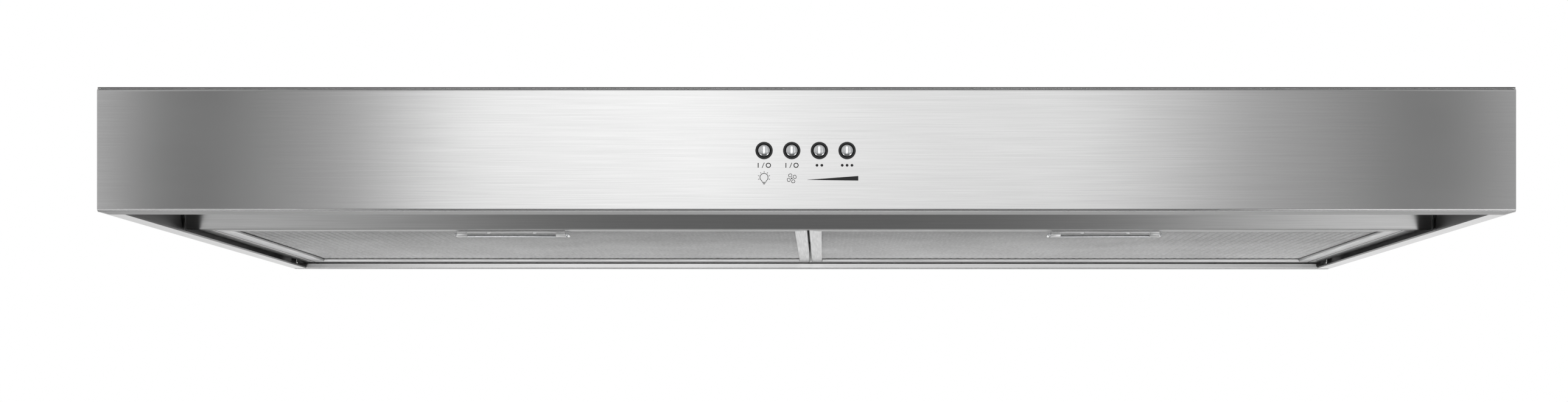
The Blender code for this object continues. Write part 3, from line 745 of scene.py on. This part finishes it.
@dataclass
class Canopy:
    """The folded stainless sheets, with the fasteners and knockouts of the top and back."""

    shop: Workshop
    front_height: float = 66.7 * MM
    sheet: float = 1.0 * MM
    bend: float = 1.8 * MM
    seam: float = 0.6 * MM
    hole_radius: float = 4.4 * MM
    side_inset: float = 1.3 * MM
    edge_mm: float = 0.45
    screw_radius: float = 3.2 * MM
    screw_inset: float = 9 * MM

    def build(self) -> None:
        """Dresses the sheets and adds what is fixed to them."""
        self.fascia()
        self.shop.dress(["top_panel", "back_panel", "lamp_panel"], STAINLESS, self.edge_mm, 3)
        # The inner band wears the darker copy of the stainless: painted shade.
        self.shop.dress(["inner_front_panel"], STAINLESS_PAINTED_SHADE, self.edge_mm, 3)
        self.shop.dress(["rear_duct_knockout", "supply_knockout"], STAINLESS, 0.25)
        # The side panels wear the darker copy of the stainless: painted shade.
        self.shop.dress(["side_panel_left", "side_panel_right"], STAINLESS_ALONG_Y_SHADED, self.edge_mm, 3)
        self.screws()
        self.knockout_tabs()
        self.round_knockout()

    def fascia(self) -> None:
        """The front: a face bent round at top and bottom, its return flange in a darker stainless for painted
        shade, and the top's cut edge as a dark strip of painted shade at the seam.
        """
        low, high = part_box("front_fascia")
        front, back = low[1], high[1]
        foot, bend, seam = -self.front_height, self.bend, self.seam
        top, bottom = (front + bend, -seam - bend), (front + bend, foot + bend)
        face = arc(top, bend, 90, 180, 8) + arc(bottom, bend, 180, 262, 8)
        face += arc(bottom, bend - self.sheet, 262, 180, 5) + arc(top, bend - self.sheet, 180, 90, 5)
        tools = []
        half, radius = 3 * MM, self.hole_radius
        for name in BUTTONS:
            x, _, z = middle(f"button_{name}")
            hole = lathe([(0, -half), (radius, -half), (radius, half), (0, half)], 40)
            tools.append(moved(hole, facing((x, front, z), (0, 1, 0))))
        body = carved(drawn(face, low[0], high[0]), tools)
        made = self.shop.piece("fascia_face", body, STAINLESS, ROOT, "stainless", ["front_fascia"], smooth=40)
        round_edges(made, 0.35 * MM, 50).harden_normals = True
        start = front + bend * 0.8
        near = foot + (start - front) * (low[2] + self.front_height) / (back - front)
        hem = self.sheet / 2
        strip = [(start, near + 0.02 * MM), (start, near + self.sheet)]
        strip += arc((back - hem, low[2] + hem), hem, 90, -90, 6)
        fold = drawn(strip, low[0] + self.side_inset, high[0] - self.side_inset)
        # The return flange wears the darker copy of the stainless: painted shade.
        self.shop.piece("fascia_return", fold, STAINLESS_PAINTED_SHADE, ROOT, "stainless", smooth=40)
        # The top sheet's edge is a dark strip: painted shade for the seam's shadow.
        corners = (low[0] + 0.8 * MM, front + 0.15 * MM, -seam), (high[0] - 0.8 * MM, front + 0.9 * MM, 0)
        self.shop.piece("top_cut_edge", slab(*corners, 0.1 * MM), SEAM_SHADE_PAINT, ROOT, "stainless")

    def screws(self) -> None:
        """Pan head screws that hold the top and back to the flanges inside."""
        edge, sunk = self.screw_inset, self.screw_radius * PAN_HEIGHT
        low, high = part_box("top_panel")
        columns = np.linspace(low[0] + edge, high[0] - edge, 5)
        rows = (low[1] + edge, high[1] - edge)
        tops = [facing((x, y, high[2] - sunk), (0, 0, 1)) for x in columns for y in rows]
        low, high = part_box("back_panel")
        columns = np.linspace(low[0] + edge, high[0] - edge, 4)
        rows = (high[2] - edge, low[2] + 16 * MM)
        backs = [facing((x, high[1] - sunk, z), (0, 1, 0)) for x in columns for z in rows]
        for name, places in (("top_screws", tops), ("back_screws", backs)):
            heads = [moved(pan_screw(self.screw_radius), place) for place in places]
            self.shop.piece(name, joined(heads), ZINC, ROOT, "spring_steel")

    def knockout_tabs(self) -> None:
        """The uncut bridges that hold the knockouts in their sheets."""
        low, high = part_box("rear_duct_knockout")
        y0, y1 = low[1] + 0.2 * MM, high[1] - 0.2 * MM
        tabs = []
        for share in (0.15, 0.5, 0.85):
            x = low[0] + (high[0] - low[0]) * share
            for z in (low[2], high[2]):
                tabs.append(slab((x - 2 * MM, y0, z - 0.6 * MM), (x + 2 * MM, y1, z + 0.6 * MM), 0.1 * MM))
        self.shop.piece("rear_knockout_bridges", joined(tabs), STAINLESS, ROOT, "stainless")

    def round_knockout(self) -> None:
        """A pressed ring on the back, the guide for a cable entry."""
        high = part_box("back_panel")[1]
        path = arc((high[0] - 60 * MM, -45 * MM), 11 * MM, 0, 352.5, 47)
        ring = [Vector((x, high[1] - 0.47 * MM, z)) for x, z in path]
        self.shop.piece("cable_entry_ring", wire(ring, 0.45 * MM, 8, True), STAINLESS, ROOT, "stainless")


# Lamps


@dataclass
class Lamp:
    """One round LED lamp: a can, a stepped trim ring, a ribbed lens and two small screws."""

    shop: Workshop
    side: Side

    def build(self) -> None:
        """Replaces the lamp's plain solids with turned pieces."""
        word = self.side.word
        low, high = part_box(f"lamp_housing_{word}")
        x, y, _ = middle(f"lamp_housing_{word}")
        flange = (high[0] - low[0]) / 2
        glass_low, glass_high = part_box(f"lamp_lens_{word}")
        mouth = (glass_high[0] - glass_low[0]) / 2
        can = flange - 5 * MM
        base, top = low[2], high[2]
        trim = [
            (0, top),
            *arc((can - 2 * MM, top - 2 * MM), 2 * MM, 90, 0, 4),
            (can, base + 2 * MM),
            *arc((flange - 1 * MM, base + 1 * MM), 1 * MM, 90, -90, 6),
            (mouth + 3.4 * MM, base),
            (mouth + 2.8 * MM, base + 0.5 * MM),
            (mouth + 0.9 * MM, base + 0.5 * MM),
            (mouth + 0.3 * MM, base),
            (mouth - 1.5 * MM, top - 8 * MM),
            (0, top - 8 * MM),
        ]
        dome = [(0, glass_low[2])]
        dome += [(mouth * 0.97 * i / 8, glass_low[2] + 1.2 * MM * (i / 8) ** 2.4) for i in range(1, 9)]
        dome += [(mouth, glass_low[2] + 1.8 * MM), (mouth, glass_high[2]), (0, glass_high[2])]
        kinds = (
            ("lamp_trim", trim, WHITE_PC, "white_plastic", "lamp_housing"),
            ("lamp_diffuser", dome, LENS, "lamp_lens", "lamp_lens"),
        )
        for name, profile, finish, slot, node in kinds:
            self.shop.piece(
                f"{name}_{word}", lathe(profile, 72), finish, ROOT, slot,
                [f"{node}_{word}"], Matrix.Translation((x, y, 0)),
            )
        heads = []
        for sign in (-1, 1):
            spot = (x + sign * (can + 2.6 * MM), y, base + 0.2 * MM)
            heads.append(moved(pan_screw(1.5 * MM), facing(spot, (0, 0, -1))))
        self.shop.piece(f"lamp_screws_{word}", joined(heads), ZINC, ROOT, "spring_steel")


# Controls


@dataclass
class PushButton:
    """A domed metal button in a black bezel ring."""

    shop: Workshop
    name: str

    def build(self) -> None:
        """Replaces the button's plain solids with turned pieces."""
        low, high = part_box(f"button_{self.name}")
        radius, length = (high[0] - low[0]) / 2, high[1] - low[1]
        body, crown = 8 * MM, 0.9 * MM
        cap = [(0, 0)]
        cap += [(radius * 0.86 * s, crown * 0.55 * s**2) for s in (0.25, 0.5, 0.75, 1.0)]
        cap += arc((radius - 0.55 * MM, crown * 0.55 + 0.6 * MM), 0.55 * MM, -60, 0, 4)
        cap += [(radius, body), (1.75 * MM, body), (1.75 * MM, length), (0, length)]
        ring_low, ring_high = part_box(f"button_bezel_{self.name}")
        outer, depth = (ring_high[0] - ring_low[0]) / 2, ring_high[1] - ring_low[1]
        inner = radius + 0.3 * MM
        lip = 0.6 * MM
        ring = [
            (inner, lip * 0.45),
            *arc((inner + 0.3 * MM, lip * 0.5), 0.3 * MM, 180, 270, 3),
            *arc((outer - 0.4 * MM, 0.4 * MM), 0.4 * MM, -90, 0, 4),
            (outer, lip),
            (outer - 0.55 * MM, lip),
            (outer - 0.55 * MM, depth),
            (inner, depth),
        ]
        kinds = (
            ("push_button", cap, CHROME, f"button_{self.name}", "button_metal", "button"),
            ("bezel_ring", ring, BLACK_ABS, ROOT, "black_plastic", "button_bezel"),
        )
        for name, profile, finish, rides, slot, kind in kinds:
            node = f"{kind}_{self.name}"
            x, _, z = middle(f"button_{self.name}")
            lay = Matrix.Translation((x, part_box(node)[0][1], z)) @ Matrix.Rotation(math.radians(-90), 4, "X")
            self.shop.piece(f"{name}_{self.name}", lathe(profile, 48), finish, rides, slot, [node], lay, 50)


@dataclass
class Printing:
    """Pictograms and marks printed on the fascia below the buttons, with no lettering."""

    shop: Workshop
    film: float = 0.04 * MM

    def build(self) -> None:
        """Prints the switch marks, the bulb, the fan and the speed wedge."""
        spots = {name: middle(f"button_{name}")[::2] for name in BUTTONS}
        row = spots["light"][1] - 7.9 * MM
        signs = spots["light"][1] - 14.9 * MM
        marks = [*self.switch_mark(spots["light"][0], row), *self.switch_mark(spots["fan"][0], row)]
        marks += [*self.dots(spots["medium"][0], row, 2), *self.dots(spots["high"][0], row, 3)]
        marks += [*self.bulb(spots["light"][0], signs), *self.fan(spots["fan"][0], signs)]
        marks.append(self.wedge(spots["medium"][0] - 6.4 * MM, spots["high"][0] + 6.0 * MM, signs))
        self.shop.piece("printed_marks", joined(marks), INK, ROOT, "black_plastic")

    def film_of(self, *outlines: Profile) -> bmesh.types.BMesh:
        """A thin ink film on the fascia's face, with one closed (x, z) outline, or an outer and inner one."""
        front, back = (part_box("front_fascia")[0][1] + level for level in (-self.film, self.film))
        if len(outlines) == 1:
            return skinned([[(x, y, z) for x, z in outlines[0]] for y in (front, back)])
        outer, inner = outlines
        order = ((outer, front), (inner, front), (inner, back), (outer, back))
        return skinned([[(x, y, z) for x, z in line] for line, y in order], True)

    def band(self, path: Profile, width: float, closed: bool = False) -> bmesh.types.BMesh:
        """An ink line of one width along an (x, z) path."""
        points = [Vector(p) for p in path]
        steps = [Vector((-way.y, way.x)) * width / 2 for way in headings(points, closed)]
        left = [tuple(p + step) for p, step in zip(points, steps)]
        right = [tuple(p - step) for p, step in zip(points, steps)]
        return self.film_of(left, right) if closed else self.film_of(left + right[::-1])

    def switch_mark(self, x: float, z: float) -> list[bmesh.types.BMesh]:
        """The bar and ring that mark a switch."""
        ring = arc((x + 2.3 * MM, z), 1.15 * MM, 0, 345, 23)
        corners = ((-3.4, -1.3), (-2.9, -1.3), (-2.9, 1.3), (-3.4, 1.3))
        bar = self.film_of([(x + u * MM, z + v * MM) for u, v in corners])
        slash = self.band([(x - 1.1 * MM, z - 1.4 * MM), (x + 0.1 * MM, z + 1.4 * MM)], 0.35 * MM)
        return [bar, slash, self.band(ring, 0.5 * MM, True)]

    def dots(self, x: float, z: float, count: int) -> list[bmesh.types.BMesh]:
        """A row of dots, one more for a higher speed."""
        step = 2.6 * MM
        first = x - step * (count - 1) / 2
        return [self.film_of(arc((first + step * i, z), 0.75 * MM, 0, 340, 17)) for i in range(count)]

    def bulb(self, x: float, z: float) -> list[bmesh.types.BMesh]:
        """A lamp bulb: a round glass outline, a neck, two thread lines and seven rays."""
        middle = z + 0.5 * MM
        glass = arc((x, middle), 2.15 * MM, -55, 235, 24)
        glass += [(x - 0.85 * MM, z - 2.1 * MM), (x + 0.85 * MM, z - 2.1 * MM)]
        parts = [self.band(glass, 0.34 * MM, True)]
        for drop, half in ((2.55, 0.7), (3.05, 0.45)):
            line = [(x + u * MM, z - drop * MM) for u in (-half, half)]
            parts.append(self.band(line, 0.3 * MM))
        for angle in range(-18, 199, 36):
            way = Vector((math.cos(math.radians(angle)), math.sin(math.radians(angle))))
            start = Vector((x, middle)) + way * 2.6 * MM
            parts.append(self.band([tuple(start), tuple(start + way * 0.75 * MM)], 0.28 * MM))
        return parts

    def fan(self, x: float, z: float) -> list[bmesh.types.BMesh]:
        """A four blade fan drawn in outline, with a round hub."""
        parts = [self.film_of(arc((x, z), 0.42 * MM, 0, 340, 17))]
        for quarter in range(4):
            turn = Matrix.Rotation(quarter * math.pi / 2 + 0.25, 2)
            blade = arc((1.75, 0.45), 0.85, 230, 20, 8) + arc((1.8, 0.2), 0.75, 0, -130, 5)
            outline = [tuple(Vector((x, z)) + turn @ Vector(point) * MM) for point in blade]
            parts.append(self.band(outline, 0.3 * MM, True))
        return parts

    def wedge(self, start: float, end: float, z: float) -> bmesh.types.BMesh:
        """The rising wedge that stands for fan speed, nearly level along its foot."""
        return self.film_of(
            [(start, z - 0.85 * MM), (end, z - 1.2 * MM), (end, z + 1.3 * MM), (start, z - 0.75 * MM)]
        )


# Grease filters


@dataclass(frozen=True)
class Weave:
    """The sizes of one layer of expanded mesh, and the slope of its strands."""

    long_way: float
    short_way: float
    strand: float
    foil: float
    lift: float
    relief: float
    lean: float = 0.45


@dataclass
class GreaseFilter:
    """A channel frame with mitred corners round two layers of expanded mesh, with its wire pull."""

    shop: Workshop
    side: Side
    border: float = 7.5 * MM
    lip: float = 2.0 * MM
    metal: float = 0.8 * MM
    gap: float = 0.22 * MM
    face: Weave = Weave(5.2 * MM, 3.1 * MM, 0.75 * MM, 0.3 * MM, 2.7 * MM, 0.35 * MM)
    backing: Weave = Weave(8.4 * MM, 5.2 * MM, 1.5 * MM, 0.4 * MM, 4.6 * MM, 0.5 * MM)

    def __post_init__(self) -> None:
        """Reads the filter's place, tilt and size from the frame."""
        word = self.side.word
        joints = {joint["name"]: joint for joint in self.shop.frame["joints"]}
        hinge = Vector(joints[f"filter_{word}_hinge"]["pos_m"])
        core = [v.co for v in self.shop.frame["nodes"][f"filter_mesh_{word}"].data.vertices]
        rear, front = min(core, key=lambda p: p.z), min(core, key=lambda p: p.y)
        tilt = math.atan2(front.z - rear.z, rear.y - front.y)
        self.place = Matrix.Translation(hinge) @ Matrix.Rotation(-tilt, 4, "X")
        low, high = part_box(f"filter_frame_{word}")
        self.half = (high[0] - low[0]) / 2
        inverse = self.place.inverted()
        outline = [inverse @ v.co for v in self.shop.frame["nodes"][f"filter_frame_{word}"].data.vertices]
        self.length = -min(p.y for p in outline)
        self.thick = max(p.z for p in outline)
        pull = inverse @ Vector(joints[f"pull_{word}_hinge"]["pos_m"])
        self.pull_y, self.pull_z = pull.y, pull.z
        self.body = f"filter_{word}"

    def build(self) -> None:
        """Builds the frame, the mesh, the bracket and the pull."""
        self.frame_bars()
        self.mesh_layer("filter_face_mesh", self.face, MESH_ALUMINIUM, [f"filter_mesh_{self.side.word}"])
        self.mesh_layer("filter_backing_mesh", self.backing, BACKING_ALUMINIUM, [])
        self.bracket()
        self.pull()

    def name(self, piece: str) -> str:
        """A piece's name with the filter's side."""
        return f"{piece}_{self.side.word}"

    def channel(self) -> Profile:
        """The rolled channel's section as (inset, height), with its turned lip and round corners."""
        inner, thick, metal = self.border, self.thick, self.metal
        bend, nick = 0.9 * MM, 0.2 * MM
        section = arc((bend, bend), bend, 270, 180, 4) + arc((bend, thick - bend), bend, 180, 90, 4)
        section += arc((inner - 0.35 * MM, thick - 0.4 * MM), 0.4 * MM, 90, -90, 4)
        section += [(metal + nick, thick - metal), (metal, thick - metal - nick)]
        section += [(metal, metal + nick), (metal + nick, metal)]
        section += [(inner - metal, metal), (inner - metal, self.lip - 0.3 * MM)]
        section += arc((inner - metal / 2, self.lip - 0.3 * MM), metal / 2, 180, 0, 4)
        section += arc((inner - 0.7 * MM, 0.7 * MM), 0.7 * MM, 0, -90, 4)
        return section

    def frame_bars(self) -> None:
        """Four channel bars, mitred with a hairline gap at each corner."""
        low, high = (-self.half, -self.length), (self.half, 0.0)
        section = self.channel()
        names = (("filter_channel_ends", FRAME_ALUMINIUM), ("filter_channel_sides", FRAME_ALUMINIUM_DEEP))
        for axis, (title, finish) in enumerate(names):
            bars = []
            for end in (0, 1):
                rings = []
                for start in (0, 1):
                    ring = []
                    for inset, z in section:
                        point = [0.0, 0.0, z]
                        point[1 - axis] = (high[1 - axis] - inset) if end else (low[1 - axis] + inset)
                        run = inset + self.gap
                        point[axis] = (high[axis] - run) if start else (low[axis] + run)
                        ring.append(point)
                    rings.append(ring)
                bars.append(skinned(rings))
            self.shop.piece(
                self.name(title), joined(bars), finish, self.body, "filter_frame",
                [f"filter_frame_{self.side.word}"] if axis == 0 else [], self.place, 40,
            )

    def mesh_layer(self, name: str, weave: Weave, finish: ExpandedAluminium, replaces: list[str]) -> None:
        """Lays zigzag strands side by side, so that neighbours meet at the knuckles.

        Args:
            name: The layer's name.
            weave: Its sizes.
            finish: The finish that it wears.
            replaces: The frame's nodes that it stands for.
        """
        inset = self.metal + 0.5 * MM
        width, length = 2 * (self.half - inset), self.length - 2 * inset
        across = int(width / (weave.long_way / 2))
        rows = int(length / (weave.short_way / 2)) - 1
        step_x, step_y = width / across, length / (rows + 1)
        j = np.arange(across + 1)
        k = np.arange(rows)[:, None]
        sign = np.where((j + k) % 2 == 0, 1.0, -1.0)
        x = np.broadcast_to(-width / 2 + j * step_x, (rows, across + 1))
        y = -inset - (k + 1) * step_y + sign * (step_y / 2 - weave.strand * 0.32)
        z = weave.lift + weave.relief * 0.5 * np.where(j % 2 == 0, 1.0, -1.0) + np.zeros_like(y)
        layers = []
        for side, level in ((-1, -1), (1, -1), (1, 1), (-1, 1)):
            dy = side * weave.strand / 2
            dz = level * weave.foil / 2 + side * weave.lean * weave.strand / 2
            layers.append(np.stack([x, y + dy, z + dz], axis=-1))
        points = np.stack(layers, axis=2).reshape(-1, 3)
        index = (np.arange(rows)[:, None] * (across + 1) + np.arange(across)[None, :]) * 4
        quads = []
        for a in range(4):
            b = (a + 1) % 4
            corners = [index + a, index + b, index + b + 4, index + a + 4]
            quads.append(np.stack(corners, axis=-1).reshape(-1, 4))
        first = np.arange(rows) * (across + 1) * 4
        last = first + across * 4
        quads.append(np.stack([first + 3, first + 2, first + 1, first], axis=-1))
        quads.append(np.stack([last, last + 1, last + 2, last + 3], axis=-1))
        faces = np.concatenate(quads)
        mesh = bpy.data.meshes.new(name)
        mesh.vertices.add(len(points))
        mesh.vertices.foreach_set("co", points.astype(np.float32).ravel())
        mesh.loops.add(faces.size)
        mesh.loops.foreach_set("vertex_index", faces.astype(np.int32).ravel())
        mesh.polygons.add(len(faces))
        mesh.polygons.foreach_set("loop_start", (np.arange(len(faces)) * 4).astype(np.int32))
        mesh.update(calc_edges=True)
        mesh.validate()
        self.shop.piece(self.name(name), mesh, finish, self.body, "filter_mesh", replaces, self.place, None)

    def bracket(self) -> None:
        """The riveted strip whose rolled ends hold the pull."""
        y, drop = self.pull_y, self.pull_z
        reach, inner = 33 * MM, 27.5 * MM
        parts = [slab((-reach, y - 3 * MM, -0.9 * MM), (reach, y + 3 * MM, -0.3 * MM), 0.2 * MM)]
        for sign in (-1, 1):
            ring = [(1.2 * MM, inner), *arc((1.55 * MM, inner), 0.25 * MM, 270, 360, 2)]
            knuckle = lathe([*ring, (1.8 * MM, reach), (1.2 * MM, reach)], 28)
            lay = Matrix.Translation((0, y, drop)) @ Matrix.Rotation(math.radians(90 * sign), 4, "Y")
            parts.append(moved(knuckle, lay))
        heights = ((0, 1.7), (0.9, 1.55), (1.5, 1.15), (1.7, 0.85), (0, 0.85))
        dome = [(r * MM, -h * MM) for r, h in heights]
        for x in (-14 * MM, 14 * MM):
            parts.append(moved(lathe(dome, 20), Matrix.Translation((x, y, 0))))
        self.shop.piece(
            self.name("pull_strap"), joined(parts), FRAME_ALUMINIUM, self.body, "filter_frame",
            [f"pull_bracket_{self.side.word}"], self.place, 40,
        )

    def pull(self) -> None:
        """The wire bail, from one knuckle round to the other."""
        half, reach, radius = 34 * MM, 14 * MM, 0.9 * MM
        near, far = 1.2 * MM, 3 * MM
        path = [(-28 * MM, 0.0), (-half + near, 0.0)]
        path += arc((-half + near, near), near, 270, 180, 5)[1:]
        path += arc((-half + far, reach - far), far, 180, 90, 6)
        path += arc((half - far, reach - far), far, 90, 0, 6)
        path += arc((half - near, near), near, 0, -90, 5)
        path += [(28 * MM, 0.0)]
        line = [Vector((x, y, 0)) for x, y in path]
        lay = self.place @ Matrix.Translation((0, self.pull_y, self.pull_z))
        self.shop.piece(
            self.name("wire_pull"), wire(line, radius, 14), CHROME, f"pull_{self.side.word}", "button_metal",
            [f"filter_pull_{self.side.word}"], lay, 50,
        )


@dataclass
class FilterSeat:
    """The rails beside and behind the filters, and the filters' leaf springs."""

    shop: Workshop

    def build(self) -> None:
        """Dresses the rails and springs."""
        rails = ["filter_rail_left", "filter_rail_right", "filter_rear_rail"]
        # The rails wear the darker copy of the stainless: painted shade.
        self.shop.dress(rails, STAINLESS_ALONG_Y_SHADED, 0.3)
        self.shop.dress(["filter_spring_left", "filter_spring_right"], SPRING)


# Inside


@dataclass
class Interior:
    """The blower, the outlet and the wiring."""

    shop: Workshop

    def build(self) -> None:
        """Dresses the pieces inside and adds their fasteners."""
        blower = ["scroll", "top_plate", "inlet_plate", "inlet_ring"]
        steel = ["fan_wheel", "outlet_box", "damper_stop", "damper_flap", "wiring_box", "wiring_box_cover"]
        wear = (
            ([f"blower_{part}" for part in blower] + steel, GALVANISED, 0),
            (["motor", "motor_shaft", "wheel_nut", "damper_pin"], SPRING, 0),
            ([f"button_spring_{name}" for name in BUTTONS], SPRING, 0),
            (["motor_mount"], RUBBER, 0),
            (["switch_housing"], BLACK_ABS, 0.5),
            (["lamp_driver", "terminal_block"], WHITE_PC, 0.8),
            (["motor_capacitor"], WHITE_PC, 0),
            (["control_cable"], SHEATH, 0),
        )
        for nodes, finish, round_mm in wear:
            self.shop.dress(nodes, finish, round_mm)
        self.cover_screws()

    def cover_screws(self) -> None:
        """Four screws through the wiring box's cover."""
        low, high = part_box("wiring_box_cover")
        heads = []
        for x in (low[0] + 6 * MM, high[0] - 6 * MM):
            for y in (low[1] + 6 * MM, high[1] - 6 * MM):
                heads.append(moved(pan_screw(3 * MM), facing((x, y, low[2]), (0, 0, -1))))
        self.shop.piece("cover_screws", joined(heads), ZINC, ROOT, "spring_steel")


# Studio


@dataclass
class Studio:
    """A pale floor, soft lights and the camera.

    The surround is bright behind the camera, falls off to both sides, and rises again at
    its edges, as a wide soft box between two dark flags does. Its levels stand by azimuth,
    in degrees from straight ahead of the hood's front.
    """

    camera_place: Point = (0.0109, -1.5808, -0.019)
    camera_turn: float = math.radians(0.28)
    lens_mm: float = 57.14
    shift: tuple[float, float] = (-0.019, -0.0501)
    floor_z: float = -1.65
    floor_reach: float = 6.0
    dome: float = 0.5
    dome_edge: tuple[float, float] = (0.45, 0.7)
    pit: float = 0.15
    pit_edge: tuple[float, float] = (-0.5, -0.26)
    brightest: float = 2.5
    sweep: tuple[tuple[float, float], ...] = (
        (-180, 0.95), (-172, 0.95), (-164, 0.95), (-90, 0.6), (-20, 0.6), (-17, 1.2), (-16.4, 1.2),
        (-15.9, 0.22), (-15.2, 0.01), (-13.8, 0.08), (-12, 0.73), (-10.6, 0.37), (-9.2, 1.72), (-7.9, 1.74),
        (-6.2, 1.9), (-2.6, 1.84), (0, 1.61), (4, 1.45), (6, 1.67), (7.5, 1.14), (9, 0.94), (10.4, 0.49),
        (11.8, 0.63), (13.6, 0.01), (14.6, 0.2), (15.6, 0.6), (18, 1), (40, 0.5), (90, 0.6), (164, 1.05),
        (172, 0.98), (180, 0.95),
    )

    def build(self) -> None:
        """Builds the floor, the lights, the world and the camera."""
        self.camera()
        self.floor()
        self.world()
        self.soft_box("overhead", (0, 1.5, 2.1), (0, 1.4, 0), (3.2, 1.8), 45)
        self.soft_box("under", (0.05, 0.05, -0.72), (0.05, 0.05, 0), (1.3, 0.4), 1.9)
        self.soft_box("low_left", (-0.62, -0.72, -0.7), (-0.2, 0.0, -0.08), (0.5, 0.4), 0.8)
        self.soft_box("low_right", (0.62, -0.72, -0.7), (0.2, 0.0, -0.08), (0.5, 0.4), 1.2)
        settings = bpy.context.scene.view_settings
        settings.view_transform = "Standard"
        settings.look = "None"

    def camera(self) -> None:
        """A long lens, level, a little below the hood's top, with a small shift for framing."""
        data = bpy.data.cameras.new("camera")
        data.lens = self.lens_mm
        data.sensor_width = 36.0
        data.shift_x, data.shift_y = self.shift
        data.dof.use_dof = False
        made = bpy.data.objects.new("camera", data)
        made.location = self.camera_place
        made.rotation_euler = (math.radians(90), 0, self.camera_turn)
        bpy.context.scene.collection.objects.link(made)
        bpy.context.scene.camera = made

    def floor(self) -> None:
        """A round matt floor, pale as studio paper."""
        finish = MouldedPolymer("studio_paper", "#F4F4F3", "#F0F0EF", 0.85, 2.0, 1.4, 0.0)
        bm = bmesh.new()
        bmesh.ops.create_circle(bm, cap_ends=True, segments=128, radius=self.floor_reach)
        mesh = bpy.data.meshes.new("floor")
        bm.to_mesh(mesh)
        bm.free()
        mesh.materials.append(finish.material())
        made = bpy.data.objects.new("floor", mesh)
        made.location = (0, 0, self.floor_z)
        made.visible_glossy = False
        bpy.context.scene.collection.objects.link(made)

    def world(self) -> None:
        """A surround of soft grey levels round the hood, an even dome above and a dimmer one below."""
        world = bpy.data.worlds.new("surround")
        world.use_nodes = True
        tree = world.node_tree
        way = add_node(tree, "SeparateXYZ", links={0: add_node(tree, "TexCoord").outputs["Generated"]})
        ahead = add_node(tree, "Math", {1: -1.0}, {0: way.outputs[1]}, operation="MULTIPLY")
        turn = add_node(tree, "Math", links={0: way.outputs[0], 1: ahead.outputs[0]}, operation="ARCTAN2")
        share = spread(tree, turn.outputs[0], 0, 1, -math.pi, math.pi)
        ramp = add_node(tree, "ValToRGB", links={0: share})
        stops = ramp.color_ramp.elements
        top = self.brightest
        for i, (angle, level) in enumerate(self.sweep):
            place = (angle + 180) / 360
            stop = stops[i] if i < 1 else stops.new(place) if i < len(self.sweep) - 1 else stops[-1]
            stop.position = place
            stop.color = (level / top,) * 3 + (1.0,)
        round_about = add_node(tree, "Math", {1: top}, {0: ramp.outputs[0]}, operation="MULTIPLY")
        depth = spread(tree, way.outputs[2], 1, 0, *self.pit_edge)
        lower = add_node(tree, "Mix", {3: self.pit}, {0: depth, 2: round_about.outputs[0]}, data_type="FLOAT")
        height = spread(tree, way.outputs[2], 0, 1, *self.dome_edge)
        level = add_node(tree, "Mix", {3: self.dome}, {0: height, 2: lower.outputs[0]}, data_type="FLOAT")
        seen = add_node(tree, "LightPath").outputs["Is Camera Ray"]
        shown = add_node(tree, "Mix", links={0: seen, 2: level.outputs[0]}, data_type="FLOAT")
        shown.inputs[3].default_value = 1.0
        tree.links.new(shown.outputs[0], tree.nodes["Background"].inputs["Strength"])
        tree.nodes["Background"].inputs["Color"].default_value = from_hex("#FFFFFF")
        bpy.context.scene.world = world

    def soft_box(
        self, name: str, place: Point, target: Point, size: tuple[float, float], watts: float
    ) -> None:
        """One rectangular soft box aimed at a target."""
        data = bpy.data.lights.new(name, "AREA")
        data.shape = "RECTANGLE"
        data.size, data.size_y = size
        data.energy = watts
        made = bpy.data.objects.new(name, data)
        made.location = place
        made.rotation_euler = (Vector(target) - Vector(place)).to_track_quat("-Z", "Y").to_euler()
        made.visible_camera = False
        bpy.context.scene.collection.objects.link(made)


def main() -> None:
    """Builds the hood and its studio in order."""
    logging.basicConfig(level=logging.INFO, format="%(name)s: %(message)s")
    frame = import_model()
    shop = Workshop(frame)
    Studio().build()
    sections: list[Callable[[], None]] = [
        Canopy(shop).build,
        Lamp(shop, Side.LEFT).build,
        Lamp(shop, Side.RIGHT).build,
        *[PushButton(shop, name).build for name in BUTTONS],
        Printing(shop).build,
        FilterSeat(shop).build,
        GreaseFilter(shop, Side.LEFT).build,
        GreaseFilter(shop, Side.RIGHT).build,
        Interior(shop).build,
    ]
    for section in sections:
        section()


if __name__ == "__main__":
    main()
